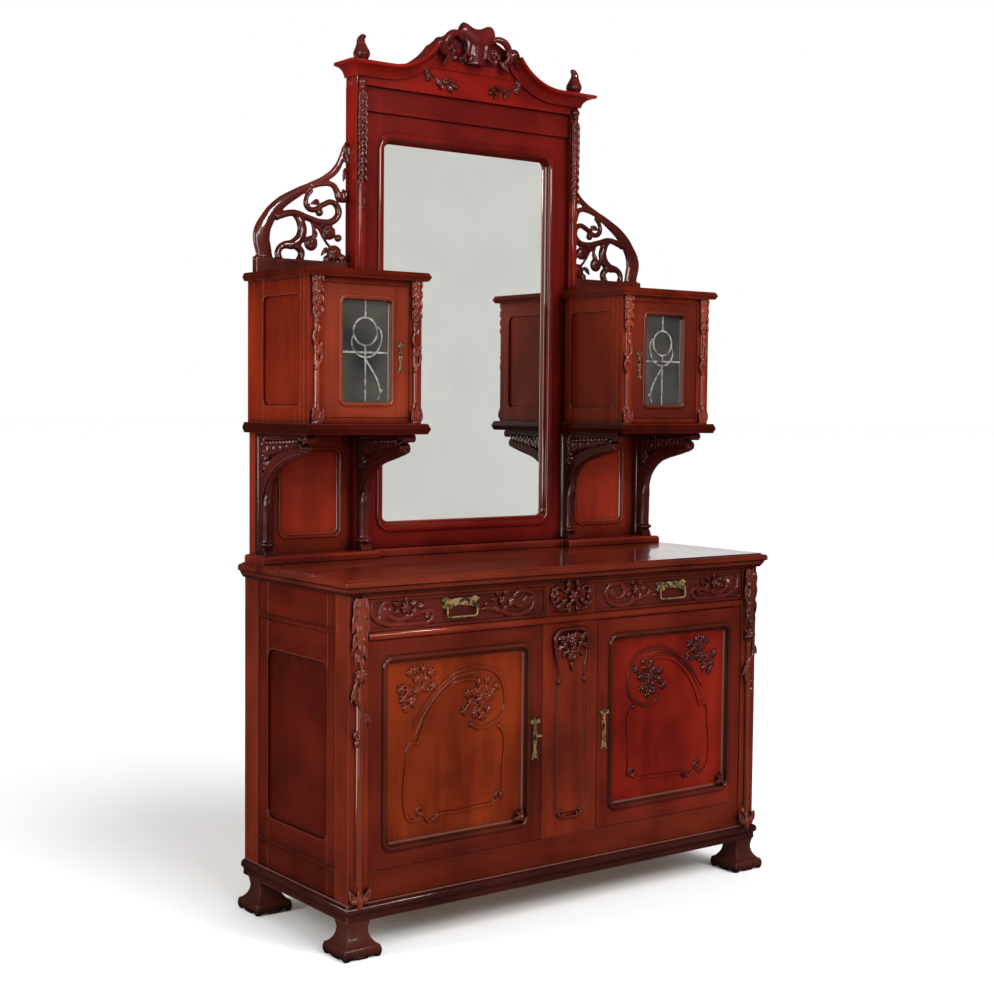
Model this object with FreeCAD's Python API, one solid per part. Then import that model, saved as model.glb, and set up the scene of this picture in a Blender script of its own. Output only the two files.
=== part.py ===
import FreeCAD, Part
import math
import os

# Sideboard with a mirror back. Millimetres. The origin is on the floor under the middle of the
# outer box, X runs to the right, the front faces -Y and Z is up. The wall plane is at +Y.

# Overall sizes
top_width = 1450
top_depth = 554
top_height = 940
total_height = 2458

# Running gaps and small allowances
door_gap = 1.5
drawer_gap = 1.5
slide_gap = 0.3
pin_clearance = 0.05
overrun = 5

# Worktop
top_thick = 40
top_side_overhang = 22
top_front_overhang = 24
top_cove_in = 16
top_edge_shares = ((0, 1), (0.32, 0.45), (0.44, 0.4), (0.5, 0), (0.78, 0), (0.89, 0.25), (0.92, 0.75),
                   (1, 0.9))

# Feet
foot_height = 90
foot_toe = 108
foot_waist = 58
foot_head = 66
foot_pad = 30
foot_scallop = 26
foot_scallop_rise = 7
foot_flare = 4
foot_step = 3
foot_waist_share = 0.78
foot_flare_share = 0.45
foot_pad_share = 0.12

# Case of the lower cupboard
post_width = 57
front_post_depth = 62
back_post_depth = 74
front_set = 3
side_set = 4
rail_thick = 24
door_thick = 23.5
top_rail_height = 12
drawer_rail_drop = 155
drawer_rail_height = 20
drawer_rail_depth = 58
drawer_bead = 7
bottom_rail_top = 207
plinth_height = 44
plinth_proud = 12
plinth_inner_share = 0.35
plinth_nose_share = 0.4
plinth_crown_share = 0.65
plinth_top_share = 0.9
side_frame_thick = 20
side_stile = 45
side_bottom_rail = 180
side_top_rail = 178
side_panel_round = 26
side_bead = 6
side_bead_height = 12
side_panel_thick = 8
side_panel_tongue = 8
side_panel_set = 7
bottom_thick = 18
back_thick = 12
back_board_count = 6
shelf_low = 470
shelf_thick = 18
shelf_back_gap = 2
shelf_nose_in = 6
cleat_size = 20
post_bead_radius = 9
post_leaf_half = 20
post_leaf_rise = 11
post_leaf_drop = 90
post_leaf_length = 195
post_foot_leaf_half = 17
post_foot_leaf_height = 66
leaf_ridge_share = 0.2

# Centre stile, fixed block between the drawers and the stop behind the doors
centre_half = 95
block_half = 85
stop_half = 107
stop_thick = 12
field_half = 55
field_margin = 58
field_proud = 5
field_edge = 7
block_field_margin = 12

# Lower doors
door_stile = 48
door_panel_thick = 12
door_panel_set = 9
door_panel_tongue = 8
door_round = 22
door_mould_in = 15
door_mould_lap = 7
door_mould_proud = 7
swag_rise = 3
swag_half = 3.5
swag_sink = 1
swag_course_shares = (
    ((0.793, 0.638, 0.6), (0.736, 0.707, 0.9), (0.671, 0.776, 1), (0.594, 0.836, 1), (0.508, 0.88, 1),
     (0.408, 0.903, 1), (0.309, 0.899, 1), (0.229, 0.867, 1), (0.176, 0.805, 1), (0.156, 0.734, 1),
     (0.16, 0.665, 1), (0.194, 0.613, 1), (0.256, 0.581, 1), (0.326, 0.569, 1), (0.395, 0.596, 0.8)),
    ((0.769, 0.529, 0.8), (0.736, 0.602, 1), (0.698, 0.673, 1), (0.64, 0.742, 1), (0.574, 0.796, 1),
     (0.497, 0.834, 1), (0.408, 0.844, 1), (0.329, 0.828, 0.8)),
    ((0.765, 0.533, 0.8), (0.8, 0.538, 1), (0.825, 0.522, 1), (0.837, 0.47, 1), (0.848, 0.38, 1),
     (0.858, 0.287, 1), (0.851, 0.195, 1), (0.826, 0.133, 1), (0.789, 0.12, 0.8)),
    ((0.683, 0.1, 0.8), (0.636, 0.126, 1), (0.49, 0.133, 1), (0.34, 0.141, 1), (0.235, 0.147, 1),
     (0.18, 0.182, 1), (0.169, 0.26, 1), (0.16, 0.416, 1), (0.163, 0.52, 1), (0.198, 0.563, 0.8)))

# Section of the mouldings that lap over the edge of an opening
mould_shoulder_share = 0.5
mould_crown_share = 0.3
mould_top_share = 0.2
mould_cove_share = 0.5

# Concealed pivots of the doors
pivot_in = 14
pivot_back = 5
pivot_radius = 3
pivot_length = 11
pivot_collar = 4.5
pivot_plate_in = 1
pivot_plate_thick = 3
pivot_plate_length = 34
pivot_plate_depth = 18

# Locks, escutcheons and the key
key_height = 493
key_in = 24
lock_width = 38
lock_height = 60
lock_thick = 14
lock_wall = 2
bolt_thick = 6
bolt_height = 14
bolt_length = 34
bolt_rise = 7
bolt_throw = 9
bolt_slack = 0.4
strike_clear = 1
key_radius = 2.5
key_bit_reach = 6.4
key_bit_length = 5
key_bit_thick = 2.4
key_bow_out = 17
key_bow_radius = 7.5
key_bow_wire = 2.2
keyhole_radius = 4
plate_thick = 2
escutcheon_height = 119
escutcheon_width = 34
small_escutcheon_height = 83
small_escutcheon_width = 24
escutcheon_side_shares = ((0.15, -0.52), (0.75, -0.58), (0.45, -0.45), (0.3, -0.3), (0.42, -0.12),
                          (0.4, 0.02),
                          (0.25, 0.14), (0.35, 0.24), (0.3, 0.34), (0.12, 0.4))
curl_place_share = 0.3
curl_height_share = 0.3
curl_size_share = 0.17
curl_rise = 1.5

# Drawers
drawer_front_thick = 22
drawer_side_thick = 11
drawer_side_in = 12
drawer_box_height = 68
drawer_back_gap = 53
drawer_bottom_thick = 6
drawer_bottom_up = 8
runner_width = 34
guide_width = 8
guide_height = 16
divider_thick = 20
kicker_height = 16
drawer_field_in = 7
drawer_field_cut = 3

# Drawer pulls
pull_width = 122
pull_height = 36
pull_thick = 3
pull_pitch = 82
pull_lug_radius = 6
pull_lug_width = 6
bail_out = 8
bail_drop = 28
bail_wire = 2.4
bail_pin_radius = 1.6
bail_pin_length = 5
bail_side_gap = 0.4
bail_corner = 9
pull_height_share = 0.7
bail_height_share = 0.19
pull_side_shares = ((0.2, -0.35), (0.55, -0.55), (0.8, -0.85), (0.97, -0.35), (0.8, 0.05), (0.98, 0.45),
                    (0.75, 0.9), (0.5, 0.55), (0.22, 0.7))

# Back above the worktop
hutch_plinth_thick = 21
hutch_plinth_depth = 106
hutch_plinth_in = 20
hutch_plinth_break = 34
hutch_plinth_nose = 5
hutch_in = 35
wing_thick = 30
wing_outer_stile = 77
wing_inner_stile = 33
wing_bottom_rail = 43
wing_top_rail = 46
wing_round = 20
wing_panel_thick = 8
wing_panel_tongue = 6
wing_panel_set = 9
wing_mould_in = 7
wing_mould_lap = 6
wing_mould_proud = 4

# Mirror
mirror_post_share = 0.270345
mirror_post_width = 29
mirror_post_depth = 58
mirror_frame_side = 63
mirror_bottom_rail = 59
mirror_top_drop = 350
mirror_frame_set = 15
mirror_frame_thick = 22
mirror_round = 34
mirror_mould_in = 16
mirror_mould_lap = 14
mirror_mould_proud = 6
mirror_glass_thick = 5
mirror_back_thick = 8
mirror_rebate = 6
mirror_bead_radius = 9
frieze_drop = 286
frieze_set = 6
pediment_drop = 218
pediment_thick = 26

# Cornice
cornice_level_drop = 157
cornice_flat_in = 92
cornice_end_half = 150
cornice_end_drop = 80
tympanum_drop = 34
cornice_out = 40
cornice_drop = 38
cornice_nose_drop = 11
cornice_under = 6
cornice_shoulder_share = 0.9
cornice_fillet_share = 0.8
cornice_cove_share = 0.36
cornice_cove_drop_share = 0.52

# Crest and finials
crest_half = 175
crest_height = 130
crest_front = 26
crest_rosette_radius = 27
crest_scroll_radius = 30
crest_dome = 8
crest_spread_shares = (0.337, 0.674)
crest_level_shares = (0.46, 0.43)
fan_shares = ((-0.12, 0.15), (0, 0.1, 0.12, 0.15), (0.32, 0.5), (0.47, 0.74), (0.53, 0.87, 0.4, 0.96),
              (0.27, 1, 0.14, 0.96), (0, 0.89, -0.14, 0.96), (-0.27, 1, -0.4, 0.96),
              (-0.53, 0.87, -0.47, 0.74),
              (-0.32, 0.5))
crest_band_shares = (
    ((0.3, 0.3, 0.05), (0.45, 0.22, 0.06), (0.6, 0.2, 0.05), (0.72, 0.17, 0.045), (0.82, 0.1, 0.03)),
    ((0.6, 0.62, 0.05), (0.74, 0.6, 0.045), (0.86, 0.46, 0.035), (0.96, 0.33, 0.02)))
finial_in = 18
finial_base = 17
finial_height = 70
finial_depth_share = 0.95
finial_side_shares = ((1, 0), (1, 0.08), (0.6, 0.14), (0.5, 0.24), (0.85, 0.36), (1, 0.5), (0.85, 0.66),
                      (0.45, 0.82),
                      (0.3, 0.93))

# Pierced frets on the cabinets
fret_rise_share = 1.09396
fret_thick = 20
fret_rail_height = 45
fret_rail_thick = 26
fret_rail_inset = 6
fret_course_shares = (
    ((0.04, 0.97, 0.02), (0.06, 0.89, 0.03), (0.13, 0.77, 0.035), (0.26, 0.68, 0.03), (0.39, 0.62, 0.03),
     (0.55, 0.54, 0.043), (0.73, 0.43, 0.055), (0.84, 0.31, 0.065), (0.9, 0.18, 0.08), (0.88, 0.055, 0.075),
     (0.86, -0.02, 0.07)),
    ((0.38, 0.61, 0.02), (0.27, 0.64, 0.02), (0.16, 0.64, 0.025), (0.11, 0.58, 0.03), (0.09, 0.54, 0.035),
     (0, 0.54, 0.035)),
    ((0.38, 0.585, 0.02), (0.44, 0.51, 0.02), (0.43, 0.44, 0.024), (0.36, 0.42, 0.024), (0.26, 0.47, 0.024),
     (0.16, 0.495, 0.025), (0.097, 0.43, 0.03), (0.14, 0.35, 0.03), (0.26, 0.32, 0.03), (0.43, 0.35, 0.028),
     (0.56, 0.38, 0.028), (0.71, 0.35, 0.03), (0.76, 0.33, 0.03)),
    ((0.56, 0.37, 0.025), (0.5, 0.31, 0.04), (0.485, 0.22, 0.045), (0.56, 0.13, 0.045), (0.69, 0.1, 0.03),
     (0.73, 0.055, 0.03), (0.72, -0.02, 0.035)),
    ((0.41, 0.34, 0.015), (0.31, 0.27, 0.015), (0.2, 0.24, 0.015)),
    ((0.38, 0.33, 0.015), (0.36, 0.23, 0.015), (0.39, 0.14, 0.015)),
    ((0.31, 0.27, 0.012), (0.24, 0.17, 0.012), (0.15, 0.09, 0.015)),
    ((0.52, -0.02, 0.03), (0.49, 0.06, 0.03), (0.55, 0.11, 0.03)))
fret_berry_shares = ((0.197, 0.24, 0.07), (0.39, 0.14, 0.073), (0.143, 0.07, 0.08))

# Consoles under the cabinets
console_width = 32
console_outer_in = 17
console_inner_in = 22
console_reach = 300
console_stem = 38
console_top_strip = 16
console_strip_share = 0.95
console_course_shares = (
    ((0.2, 0.16, 0.04), (0.19, 0.27, 0.028), (0.19, 0.42, 0.028), (0.23, 0.56, 0.035), (0.33, 0.7, 0.045),
     (0.5, 0.79, 0.042), (0.7, 0.85, 0.035), (0.87, 0.88, 0.045)),
    ((0.25, 0.6, 0.015), (0.2, 0.7, 0.018), (0.2, 0.8, 0.02)),
    ((0.17, 0.14, 0.03), (0.2, 0.06, 0.045), (0.22, 0, 0.06)))
console_disc_shares = ((0.28, 0.85, 0.08), (0.47, 0.9, 0.06), (0.63, 0.91, 0.05), (0.8, 0.925, 0.05),
                       (0.963, 0.966, 0.037))

# Hanging cabinets
cabinet_proud = 5
cabinet_inner_in = 40
cabinet_depth = 320
cabinet_low_share = 0.22925
cabinet_floor_thick = 28
cabinet_high_share = 0.50856
cabinet_roof_thick = 22
cabinet_lip = 17
cabinet_front_lip = 23
cabinet_lip_nose_share = 0.5
cabinet_side_thick = 18
cabinet_stile = 46
cabinet_inner_stile = 38
cabinet_face_thick = 24
cabinet_face_rail = 15
cabinet_side_stile = 18
cabinet_side_rear_stile = 84
cabinet_side_rail = 44
cabinet_side_round = 18
cabinet_side_panel_thick = 7
cabinet_side_panel_set = 6
cabinet_side_tongue = 6
cabinet_back_thick = 10
cabinet_bead_radius = 7
cabinet_leaf_half = 13
cabinet_leaf_height = 90
cabinet_foot_leaf_height = 60
cabinet_leaf_rise = 8

# Glazed doors of the cabinets
glazed_set = 2
glazed_thick = 20
glazed_stile = 52
glazed_rail = 36
glazed_round = 12
glazed_rebate = 6
glazed_mould_in = 4
glazed_mould_lap = 8
glazed_mould_proud = 3
glazed_glass_thick = 3
glazed_glass_set = 11
came_width = 5
came_rise = 1.6
came_ring_radius = 36
came_ring_share = 0.69
came_bar_share = 0.49
crescent_shares = ((0.74, 0.65, 0.01), (0.77, 0.57, 0.014), (0.69, 0.485, 0.014), (0.52, 0.445, 0.014),
                   (0.34, 0.465, 0.014), (0.22, 0.54, 0.014), (0.17, 0.63, 0.014), (0.2, 0.71, 0.014),
                   (0.28, 0.74, 0.01))
tendril_shares = ((0.52, 0.45, 0.014), (0.4, 0.35, 0.014), (0.27, 0.24, 0.014), (0.21, 0.14, 0.014),
                  (0.24, 0.04, 0.012))
drop_shares = (0.18, 0.12)
glazed_key_in = 27
glazed_key_share = 0.48
glazed_lock_height = 44
glazed_lock_width = 34
glazed_lock_thick = 9

# Middle point of a quarter round, from its corner, and the tolerance for points that are the same
quarter_share = 1 - math.sqrt(1 / 2)
same_point = 0.001

V = FreeCAD.Vector
UP = V(0, 0, 1)
RIGHT = V(1, 0, 0)
BACK = V(0, 1, 0)
ORIGIN = V(0, 0, 0)

# Main planes, worked out from the sizes above
y_wall = top_depth / 2
y_top_front = -top_depth / 2
y_post = y_top_front + top_front_overhang
y_face = y_post + front_set
x_case = top_width / 2 - top_side_overhang
x_post = x_case - post_width
hutch_plinth_half = top_width / 2 - hutch_plinth_in
hutch_half = top_width / 2 - hutch_in
mirror_post_outer = top_width * mirror_post_share
cornice_flat_half = mirror_post_outer - cornice_flat_in
cabinet_outer = hutch_half + cabinet_proud
cabinet_inner = mirror_post_outer - cabinet_inner_in
fret_reach = hutch_half - mirror_post_outer
fret_rise = fret_reach * fret_rise_share
z_top_under = top_height - top_thick
z_top_rail = z_top_under - top_rail_height
drawer_rail_low = top_height - drawer_rail_drop
z_drawer_low = drawer_rail_low + drawer_rail_height
back_height = total_height - top_height
cabinet_low = top_height + back_height * cabinet_low_share
cabinet_high = top_height + back_height * cabinet_high_share
mirror_high = total_height - mirror_top_drop
frieze_low = total_height - frieze_drop
pediment_low = total_height - pediment_drop
cornice_top = total_height - cornice_level_drop
cornice_end_top = total_height - cornice_end_drop
tympanum_top = total_height - tympanum_drop
y_post_back = y_post + front_post_depth
y_back_post = y_wall - back_post_depth
y_back_board = y_wall - back_thick
z_plinth = top_height + hutch_plinth_thick
x_post_inner = mirror_post_outer - mirror_post_width
y_mirror_post = y_wall - mirror_post_depth
y_mirror_frame = y_mirror_post + mirror_frame_set
y_cabinet = y_wall - cabinet_depth
z_cabinet_floor = cabinet_low + cabinet_floor_thick
z_cabinet_roof = cabinet_high - cabinet_roof_thick
z_fret = cabinet_high + fret_rail_height


# Basic shapes

def box(x0, x1, y0, y1, z0, z1):
    """A block between two corners."""
    return Part.makeBox(x1 - x0, y1 - y0, z1 - z0, V(x0, y0, z0))


def rod(start, end, radius):
    """A round bar from one point to another."""
    run = end - start
    return Part.makeCylinder(radius, run.Length, start, run)


def outline(steps, place):
    """A closed wire. A pair is a straight to that point, and four numbers are an arc through the
    first pair to the second."""
    edges = []
    last = place(*steps[0])
    for step in list(steps[1:]) + [steps[0]]:
        end = place(*step[-2:])
        if len(step) == 4:
            edges.append(Part.Arc(last, place(*step[:2]), end).toShape())
        elif (end - last).Length > same_point:
            edges.append(Part.LineSegment(last, end).toShape())
        last = end
    return Part.Wire(edges)


def in_front(y):
    """Places a flat outline, across and up, in the plane facing the front at y."""
    return lambda a, b: V(a, y, b)


def in_side(x):
    """Places a flat outline, away from the wall and up, in the plane facing the side at x."""
    return lambda a, b: V(x, y_wall - a, b)


def in_plan(z):
    """Places a flat outline on the level z."""
    return lambda a, b: V(a, b, z)


def prism(wire, along):
    """A solid whose section is the wire."""
    return Part.Face(wire).extrude(along)


def band(course, place):
    """A flat strip whose width changes along a curved course of (across, up, half width)."""
    count = len(course)
    left = []
    right = []
    for index, (a, b, half) in enumerate(course):
        a0, b0, _ = course[max(index - 1, 0)]
        a1, b1, _ = course[min(index + 1, count - 1)]
        run = math.hypot(a1 - a0, b1 - b0)
        left.append((a - (b1 - b0) / run * half, b + (a1 - a0) / run * half))
        right.append((a + (b1 - b0) / run * half, b - (a1 - a0) / run * half))

    def tip(near, beyond):
        run = math.hypot(near[0] - beyond[0], near[1] - beyond[1])
        return place(near[0] + (near[0] - beyond[0]) / run * near[2],
                     near[1] + (near[1] - beyond[1]) / run * near[2])

    left = [place(*point) for point in left]
    right = [place(*point) for point in right]
    side_a = Part.BSplineCurve()
    side_a.interpolate(left)
    side_b = Part.BSplineCurve()
    side_b.interpolate(right[::-1])
    end_cap = Part.Arc(left[-1], tip(course[-1], course[-2]), right[-1])
    start_cap = Part.Arc(right[0], tip(course[0], course[1]), left[0])
    edges = [side_a.toShape(), end_cap.toShape(), side_b.toShape(), start_cap.toShape()]
    return Part.Face(Part.Wire(edges))


def scaled(course, across, up):
    """A course of shares, turned into sizes."""
    return [(a * across, b * up, half * across) for a, b, half in course]


def moved(course, across, up):
    """A course shifted by two sizes."""
    return [(a + across, b + up, half) for a, b, half in course]


def join(shapes):
    """One solid made of pieces that grow out of each other."""
    whole = shapes[0].multiFuse(shapes[1:])
    return whole.removeSplitter()


def less(shape, *tools):
    """What is left of a shape when others are taken out of it."""
    for tool in tools:
        shape = shape.cut(tool)
    return shape


def flip(shape):
    """The same piece on the other side of the middle."""
    return shape.mirror(ORIGIN, RIGHT)


def round_box(x0, x1, z0, z1, radius, y0, y1):
    """A block with its four upright-plane corners rounded, seen from the front."""
    k = radius * quarter_share
    steps = [(x0 + radius, z0), (x1 - radius, z0), (x1 - k, z0 + k, x1, z0 + radius), (x1, z1 - radius),
             (x1 - k, z1 - k, x1 - radius, z1), (x0 + radius, z1), (x0 + k, z1 - k, x0, z1 - radius),
             (x0, z0 + radius), (x0 + k, z0 + k, x0 + radius, z0)]
    return prism(outline(steps, in_front(y0)), V(0, y1 - y0, 0))


def framed(x0, x1, z0, z1, sides, rails, thick, radius, y0, panel):
    """Two stiles and two rails round an opening with rounded corners, facing the front at y0.
    sides and rails hold the widths at each end. panel is (tongue, set back, thickness)."""
    ox0 = x0 + sides[0]
    ox1 = x1 - sides[1]
    oz0 = z0 + rails[0]
    oz1 = z1 - rails[1]
    opening = round_box(ox0, ox1, oz0, oz1, radius, y0 - overrun, y0 + thick + overrun)
    tongue, back, panel_thick = panel
    board = box(ox0 - tongue, ox1 + tongue, y0 + back, y0 + back + panel_thick, oz0 - tongue, oz1 + tongue)
    pieces = [box(x0, ox0, y0, y0 + thick, z0, z1), box(ox1, x1, y0, y0 + thick, z0, z1),
              box(ox0, ox1, y0, y0 + thick, z0, oz0 + radius),
              box(ox0, ox1, y0, y0 + thick, oz1 - radius, z1)]
    pieces = [less(piece, opening, board) for piece in pieces]
    return pieces, board, (ox0, ox1, oz0, oz1)


def mitred_ring(opening, radius, y, profile):
    """Four mitred lengths of moulding round an opening. The section is given in steps of
    (inward, forward) from the edge of the opening in the plane y."""
    x0, x1, z0, z1 = opening
    k = radius * quarter_share
    middle = (x0 + x1) / 2
    steps = [(middle, z0), (x1 - radius, z0), (x1 - k, z0 + k, x1, z0 + radius), (x1, z1 - radius),
             (x1 - k, z1 - k, x1 - radius, z1), (x0 + radius, z1), (x0 + k, z1 - k, x0, z1 - radius),
             (x0, z0 + radius), (x0 + k, z0 + k, x0 + radius, z0)]
    section = outline(profile, lambda a, b: V(middle, y - b, z0 + a))
    ring = outline(steps, in_front(y)).makePipeShell([section], True, False, 1)
    half = min(x1 - x0, z1 - z0) / 2
    low_left = (x0 + half, z0 + half)
    high_right = (x1 - half, z1 - half)
    tall = z1 - z0 > x1 - x0
    low_right = low_left if tall else high_right
    high_left = high_right if tall else low_left
    out = [(x0 - half, z0 - half), (x1 + half, z0 - half), (x1 + half, z1 + half), (x0 - half, z1 + half)]
    hub = [low_left, low_right, high_right, high_left]
    pieces = []
    for index in range(4):
        following = (index + 1) % 4
        zone = [hub[index], out[index], out[following], hub[following]]
        wedge = prism(outline(zone, in_front(y - half)), V(0, 2 * half, 0))
        pieces.append(ring.common(wedge).Solids[0])
    return pieces


def turn_to_side(shape, x):
    """A piece made facing the front at y = 0, turned to face +X at x."""
    turned = shape.copy()
    turned.rotate(ORIGIN, UP, 90)
    turned.translate(V(x, 0, 0))
    return turned


def straight_moulding(profile, start, end, outward, mitres=(False, False)):
    """A straight length between two points on a face. The section is in steps of (outward, up),
    and an end is mitred where a neighbour meets it round an outer corner."""
    run = (end - start).normalize()
    reach = 2 * max(step[-2] for step in profile)
    tall = 2 * max(abs(step[-1]) for step in profile)
    first = start - run * (reach * mitres[0])
    last = end + run * (reach * mitres[1])
    solid = prism(outline(profile, lambda a, b: first + outward * a + UP * b), last - first)
    for corner, towards, wanted in ((start, run * -1, mitres[0]), (end, run, mitres[1])):
        if wanted:
            solid = less(solid, mitre_wedge(corner, towards, outward, reach, tall))
    return solid


def mitre_wedge(corner, towards, outward, reach, tall):
    """What a mitre saw takes away beyond an outer corner."""
    wedge = [(-reach, -reach), (reach, reach), (-reach, reach)]
    return prism(outline(wedge, lambda a, b: corner + outward * a + towards * b - UP * tall),
                 UP * (2 * tall))


def moulded_board(x0, x1, y0, y1, levels):
    """A board whose front and end edges follow levels of (height, inset). Its back stays square."""
    wires = []
    for z, inset in levels:
        steps = [(x0 + inset, y0 + inset), (x1 - inset, y0 + inset), (x1 - inset, y1), (x0 + inset, y1)]
        wires.append(outline(steps, in_plan(z)))
    return Part.makeLoft(wires, True, True)


def bolection(lap, inward, proud, depth):
    """The section of a moulding that laps over an edge and runs down to what lies in the opening."""
    shoulder = proud * mould_shoulder_share
    return [(-lap, 0), (-lap, shoulder),
            (-lap * mould_top_share, proud, inward * mould_crown_share, shoulder),
            (inward * mould_cove_share, -depth * mould_cove_share, inward, -depth), (0, -depth), (0, 0)]


def pointed_leaf(x, y, z0, z1, half, rise):
    """A pointed leaf lying on an upright face, with a ridge down its middle."""
    middle = (z0 + z1) / 2
    inner = half * leaf_ridge_share
    edge = outline([(x, z0), (x + half, middle, x, z1), (x - half, middle, x, z0)], in_front(y))
    crown = outline([(x, z0 + half), (x + inner, middle, x, z1 - half), (x - inner, middle, x, z0 + half)],
                    in_front(y - rise))
    return Part.makeLoft([edge, crown], True, True)


def raised_field(x0, x1, z0, z1, y, edge, proud):
    """A raised field with sloping edges on an upright face."""
    low = outline([(x0, z0), (x1, z0), (x1, z1), (x0, z1)], in_front(y))
    high = outline([(x0 + edge, z0 + edge), (x1 - edge, z0 + edge), (x1 - edge, z1 - edge),
                    (x0 + edge, z1 - edge)], in_front(y - proud))
    return Part.makeLoft([low, high], True, True)


nodes = {}


def add(name, *shapes):
    """Keeps the solids of one node."""
    kept = nodes.setdefault(name, [])
    for shape in shapes:
        kept.extend(shape.Solids)


def both(name, *shapes):
    """Keeps the solids and their twins on the other side in one node."""
    add(name, *shapes)
    add(name, *[flip(shape) for shape in shapes])


def pair(name, *shapes):
    """Keeps the solids in a right node and their twins in a left one."""
    add(name + "_right", *shapes)
    add(name + "_left", *[flip(shape) for shape in shapes])


# Pivots: a pin plate let into the rail, and a socket plate let into the door

def pivots(x_axis, y_axis, z_rail, z_door, up):
    """The fixed and the moving half at one end of a door. up is 1 at its foot and -1 at its head."""
    x0 = x_axis + pivot_in + door_gap - pivot_plate_length
    x1 = x_axis + pivot_in + door_gap
    y0 = y_axis - pivot_back + pivot_plate_in
    y1 = y0 + pivot_plate_depth

    def slab(start, thick, radius=0):
        low, high = sorted((start, start + up * thick))
        if radius:
            return Part.makeCylinder(radius, high - low, V(x_axis, y_axis, low))
        return box(x0, x1, y0, y1, low, high)

    fixed = slab(z_rail, -pivot_plate_thick)
    collar = slab(z_rail, door_gap - slide_gap, pivot_collar)
    pin = slab(z_rail, door_gap + pivot_length, pivot_radius)
    fixed_bed = fixed.copy()
    fixed = join([fixed, collar, pin])
    low, high = sorted((z_door, z_door + up * pivot_plate_thick))
    moving_bed = box(x0, x1 - door_gap, y0, y1, low, high)
    bore = slab(z_door, pivot_length + overrun / 2, pivot_radius + pin_clearance)
    moving = less(moving_bed, bore)
    return fixed, fixed_bed, moving, join([moving_bed, bore])


# Worktop

add("worktop", moulded_board(-top_width / 2, top_width / 2, y_top_front, y_wall,
                             [(z_top_under + rise * top_thick, inset * top_cove_in)
                              for rise, inset in top_edge_shares]))


# Feet: four flared blocks with a scalloped pad

def foot(x, y):
    toe = foot_toe / 2
    edge = toe - foot_pad * foot_pad_share
    waist = foot_waist / 2
    head = foot_head / 2
    z_waist = foot_height * foot_waist_share
    z_flare = foot_pad + (z_waist - foot_pad) * foot_flare_share
    half_pad = foot_pad / 2
    step = edge - foot_step
    profile = [(-edge, 0), (edge, 0), (toe, half_pad, edge, foot_pad), (step, foot_pad),
               (waist + foot_flare, z_flare, waist, z_waist),
               (head, foot_height), (-head, foot_height), (-waist, z_waist),
               (-waist - foot_flare, z_flare, -step, foot_pad), (-edge, foot_pad),
               (-toe, half_pad, -edge, 0)]
    across = prism(outline(profile, lambda a, b: V(x + a, y - foot_toe, b)), V(0, 2 * foot_toe, 0))
    along = prism(outline(profile, lambda a, b: V(x - foot_toe, y + a, b)), V(2 * foot_toe, 0, 0))
    shape = across.common(along)
    radius = (foot_scallop ** 2 / 4 + foot_scallop_rise ** 2) / (2 * foot_scallop_rise)
    drop = radius - foot_scallop_rise
    for offset in (-foot_toe / 4, foot_toe / 4):
        shape = less(shape,
                     rod(V(x + offset, y - foot_toe, -drop), V(x + offset, y + foot_toe, -drop), radius),
                     rod(V(x - foot_toe, y + offset, -drop), V(x + foot_toe, y + offset, -drop), radius))
    return shape


foot_x = top_width / 2 - foot_toe / 2
for foot_y in (y_top_front + foot_toe / 2, y_wall - foot_toe / 2):
    both("feet", foot(foot_x, foot_y))


# Corner posts, with the carved strip of the front ones in outline

post_middle = (x_post + x_case) / 2
z_plinth_top = foot_height + plinth_height
post_leaf_high = top_height - post_leaf_drop
post_leaf_low = post_leaf_high - post_leaf_length
front_post = box(x_post, x_case, y_post, y_post_back, foot_height, z_top_under)
strip = rod(V(post_middle, y_post, z_plinth_top), V(post_middle, y_post, post_leaf_low + post_leaf_half),
            post_bead_radius)
post_leaf = pointed_leaf(post_middle, y_post, post_leaf_low, post_leaf_high, post_leaf_half, post_leaf_rise)
post_foot_leaf = pointed_leaf(post_middle, y_post, z_plinth_top, z_plinth_top + post_foot_leaf_height,
                              post_foot_leaf_half, post_leaf_rise)
both("corner_posts", join([front_post, strip, post_leaf, post_foot_leaf]))
back_post = box(x_post, x_case, y_back_post, y_wall, foot_height, z_top_under)
both("corner_posts", back_post)


# Plinth moulding in three mitred lengths round the foot of the case

plinth_inner = plinth_proud * plinth_inner_share
plinth_top = plinth_height * plinth_top_share
plinth_profile = [(0, 0), (plinth_inner, 0), (plinth_inner, plinth_height * plinth_nose_share),
                  (plinth_proud, plinth_height * plinth_crown_share, plinth_inner, plinth_top),
                  (0, plinth_height)]
corner = V(x_case, y_post, foot_height)
add("plinth_moulding",
    straight_moulding(plinth_profile, V(-x_case, y_post, foot_height), corner, -BACK, (1, 1)))
both("plinth_moulding",
     straight_moulding(plinth_profile, corner, V(x_case, y_wall, foot_height), RIGHT, (1, 0)))


# Sides: frame and panel, with two small ledges

side_face = x_case - side_set
side_rails = (side_bottom_rail, side_top_rail)
frame, panel, opening = framed(y_post_back, y_back_post, foot_height, z_top_under, (side_stile, side_stile),
                               side_rails, side_frame_thick, side_panel_round, 0,
                               (side_panel_tongue, side_panel_set, side_panel_thick))
both("side_frames", *[turn_to_side(piece, side_face) for piece in frame])
both("side_panels", turn_to_side(panel, side_face))
ledge_profile = [(0, -side_bead_height / 2), (side_bead, 0, 0, side_bead_height / 2)]
for ledge_z in (bottom_rail_top, z_drawer_low):
    both("side_frames", straight_moulding(ledge_profile, V(side_face, y_post_back, ledge_z),
                                          V(side_face, y_back_post, ledge_z), RIGHT))


# Rails, centre stile and the fixed block between the drawers

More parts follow.
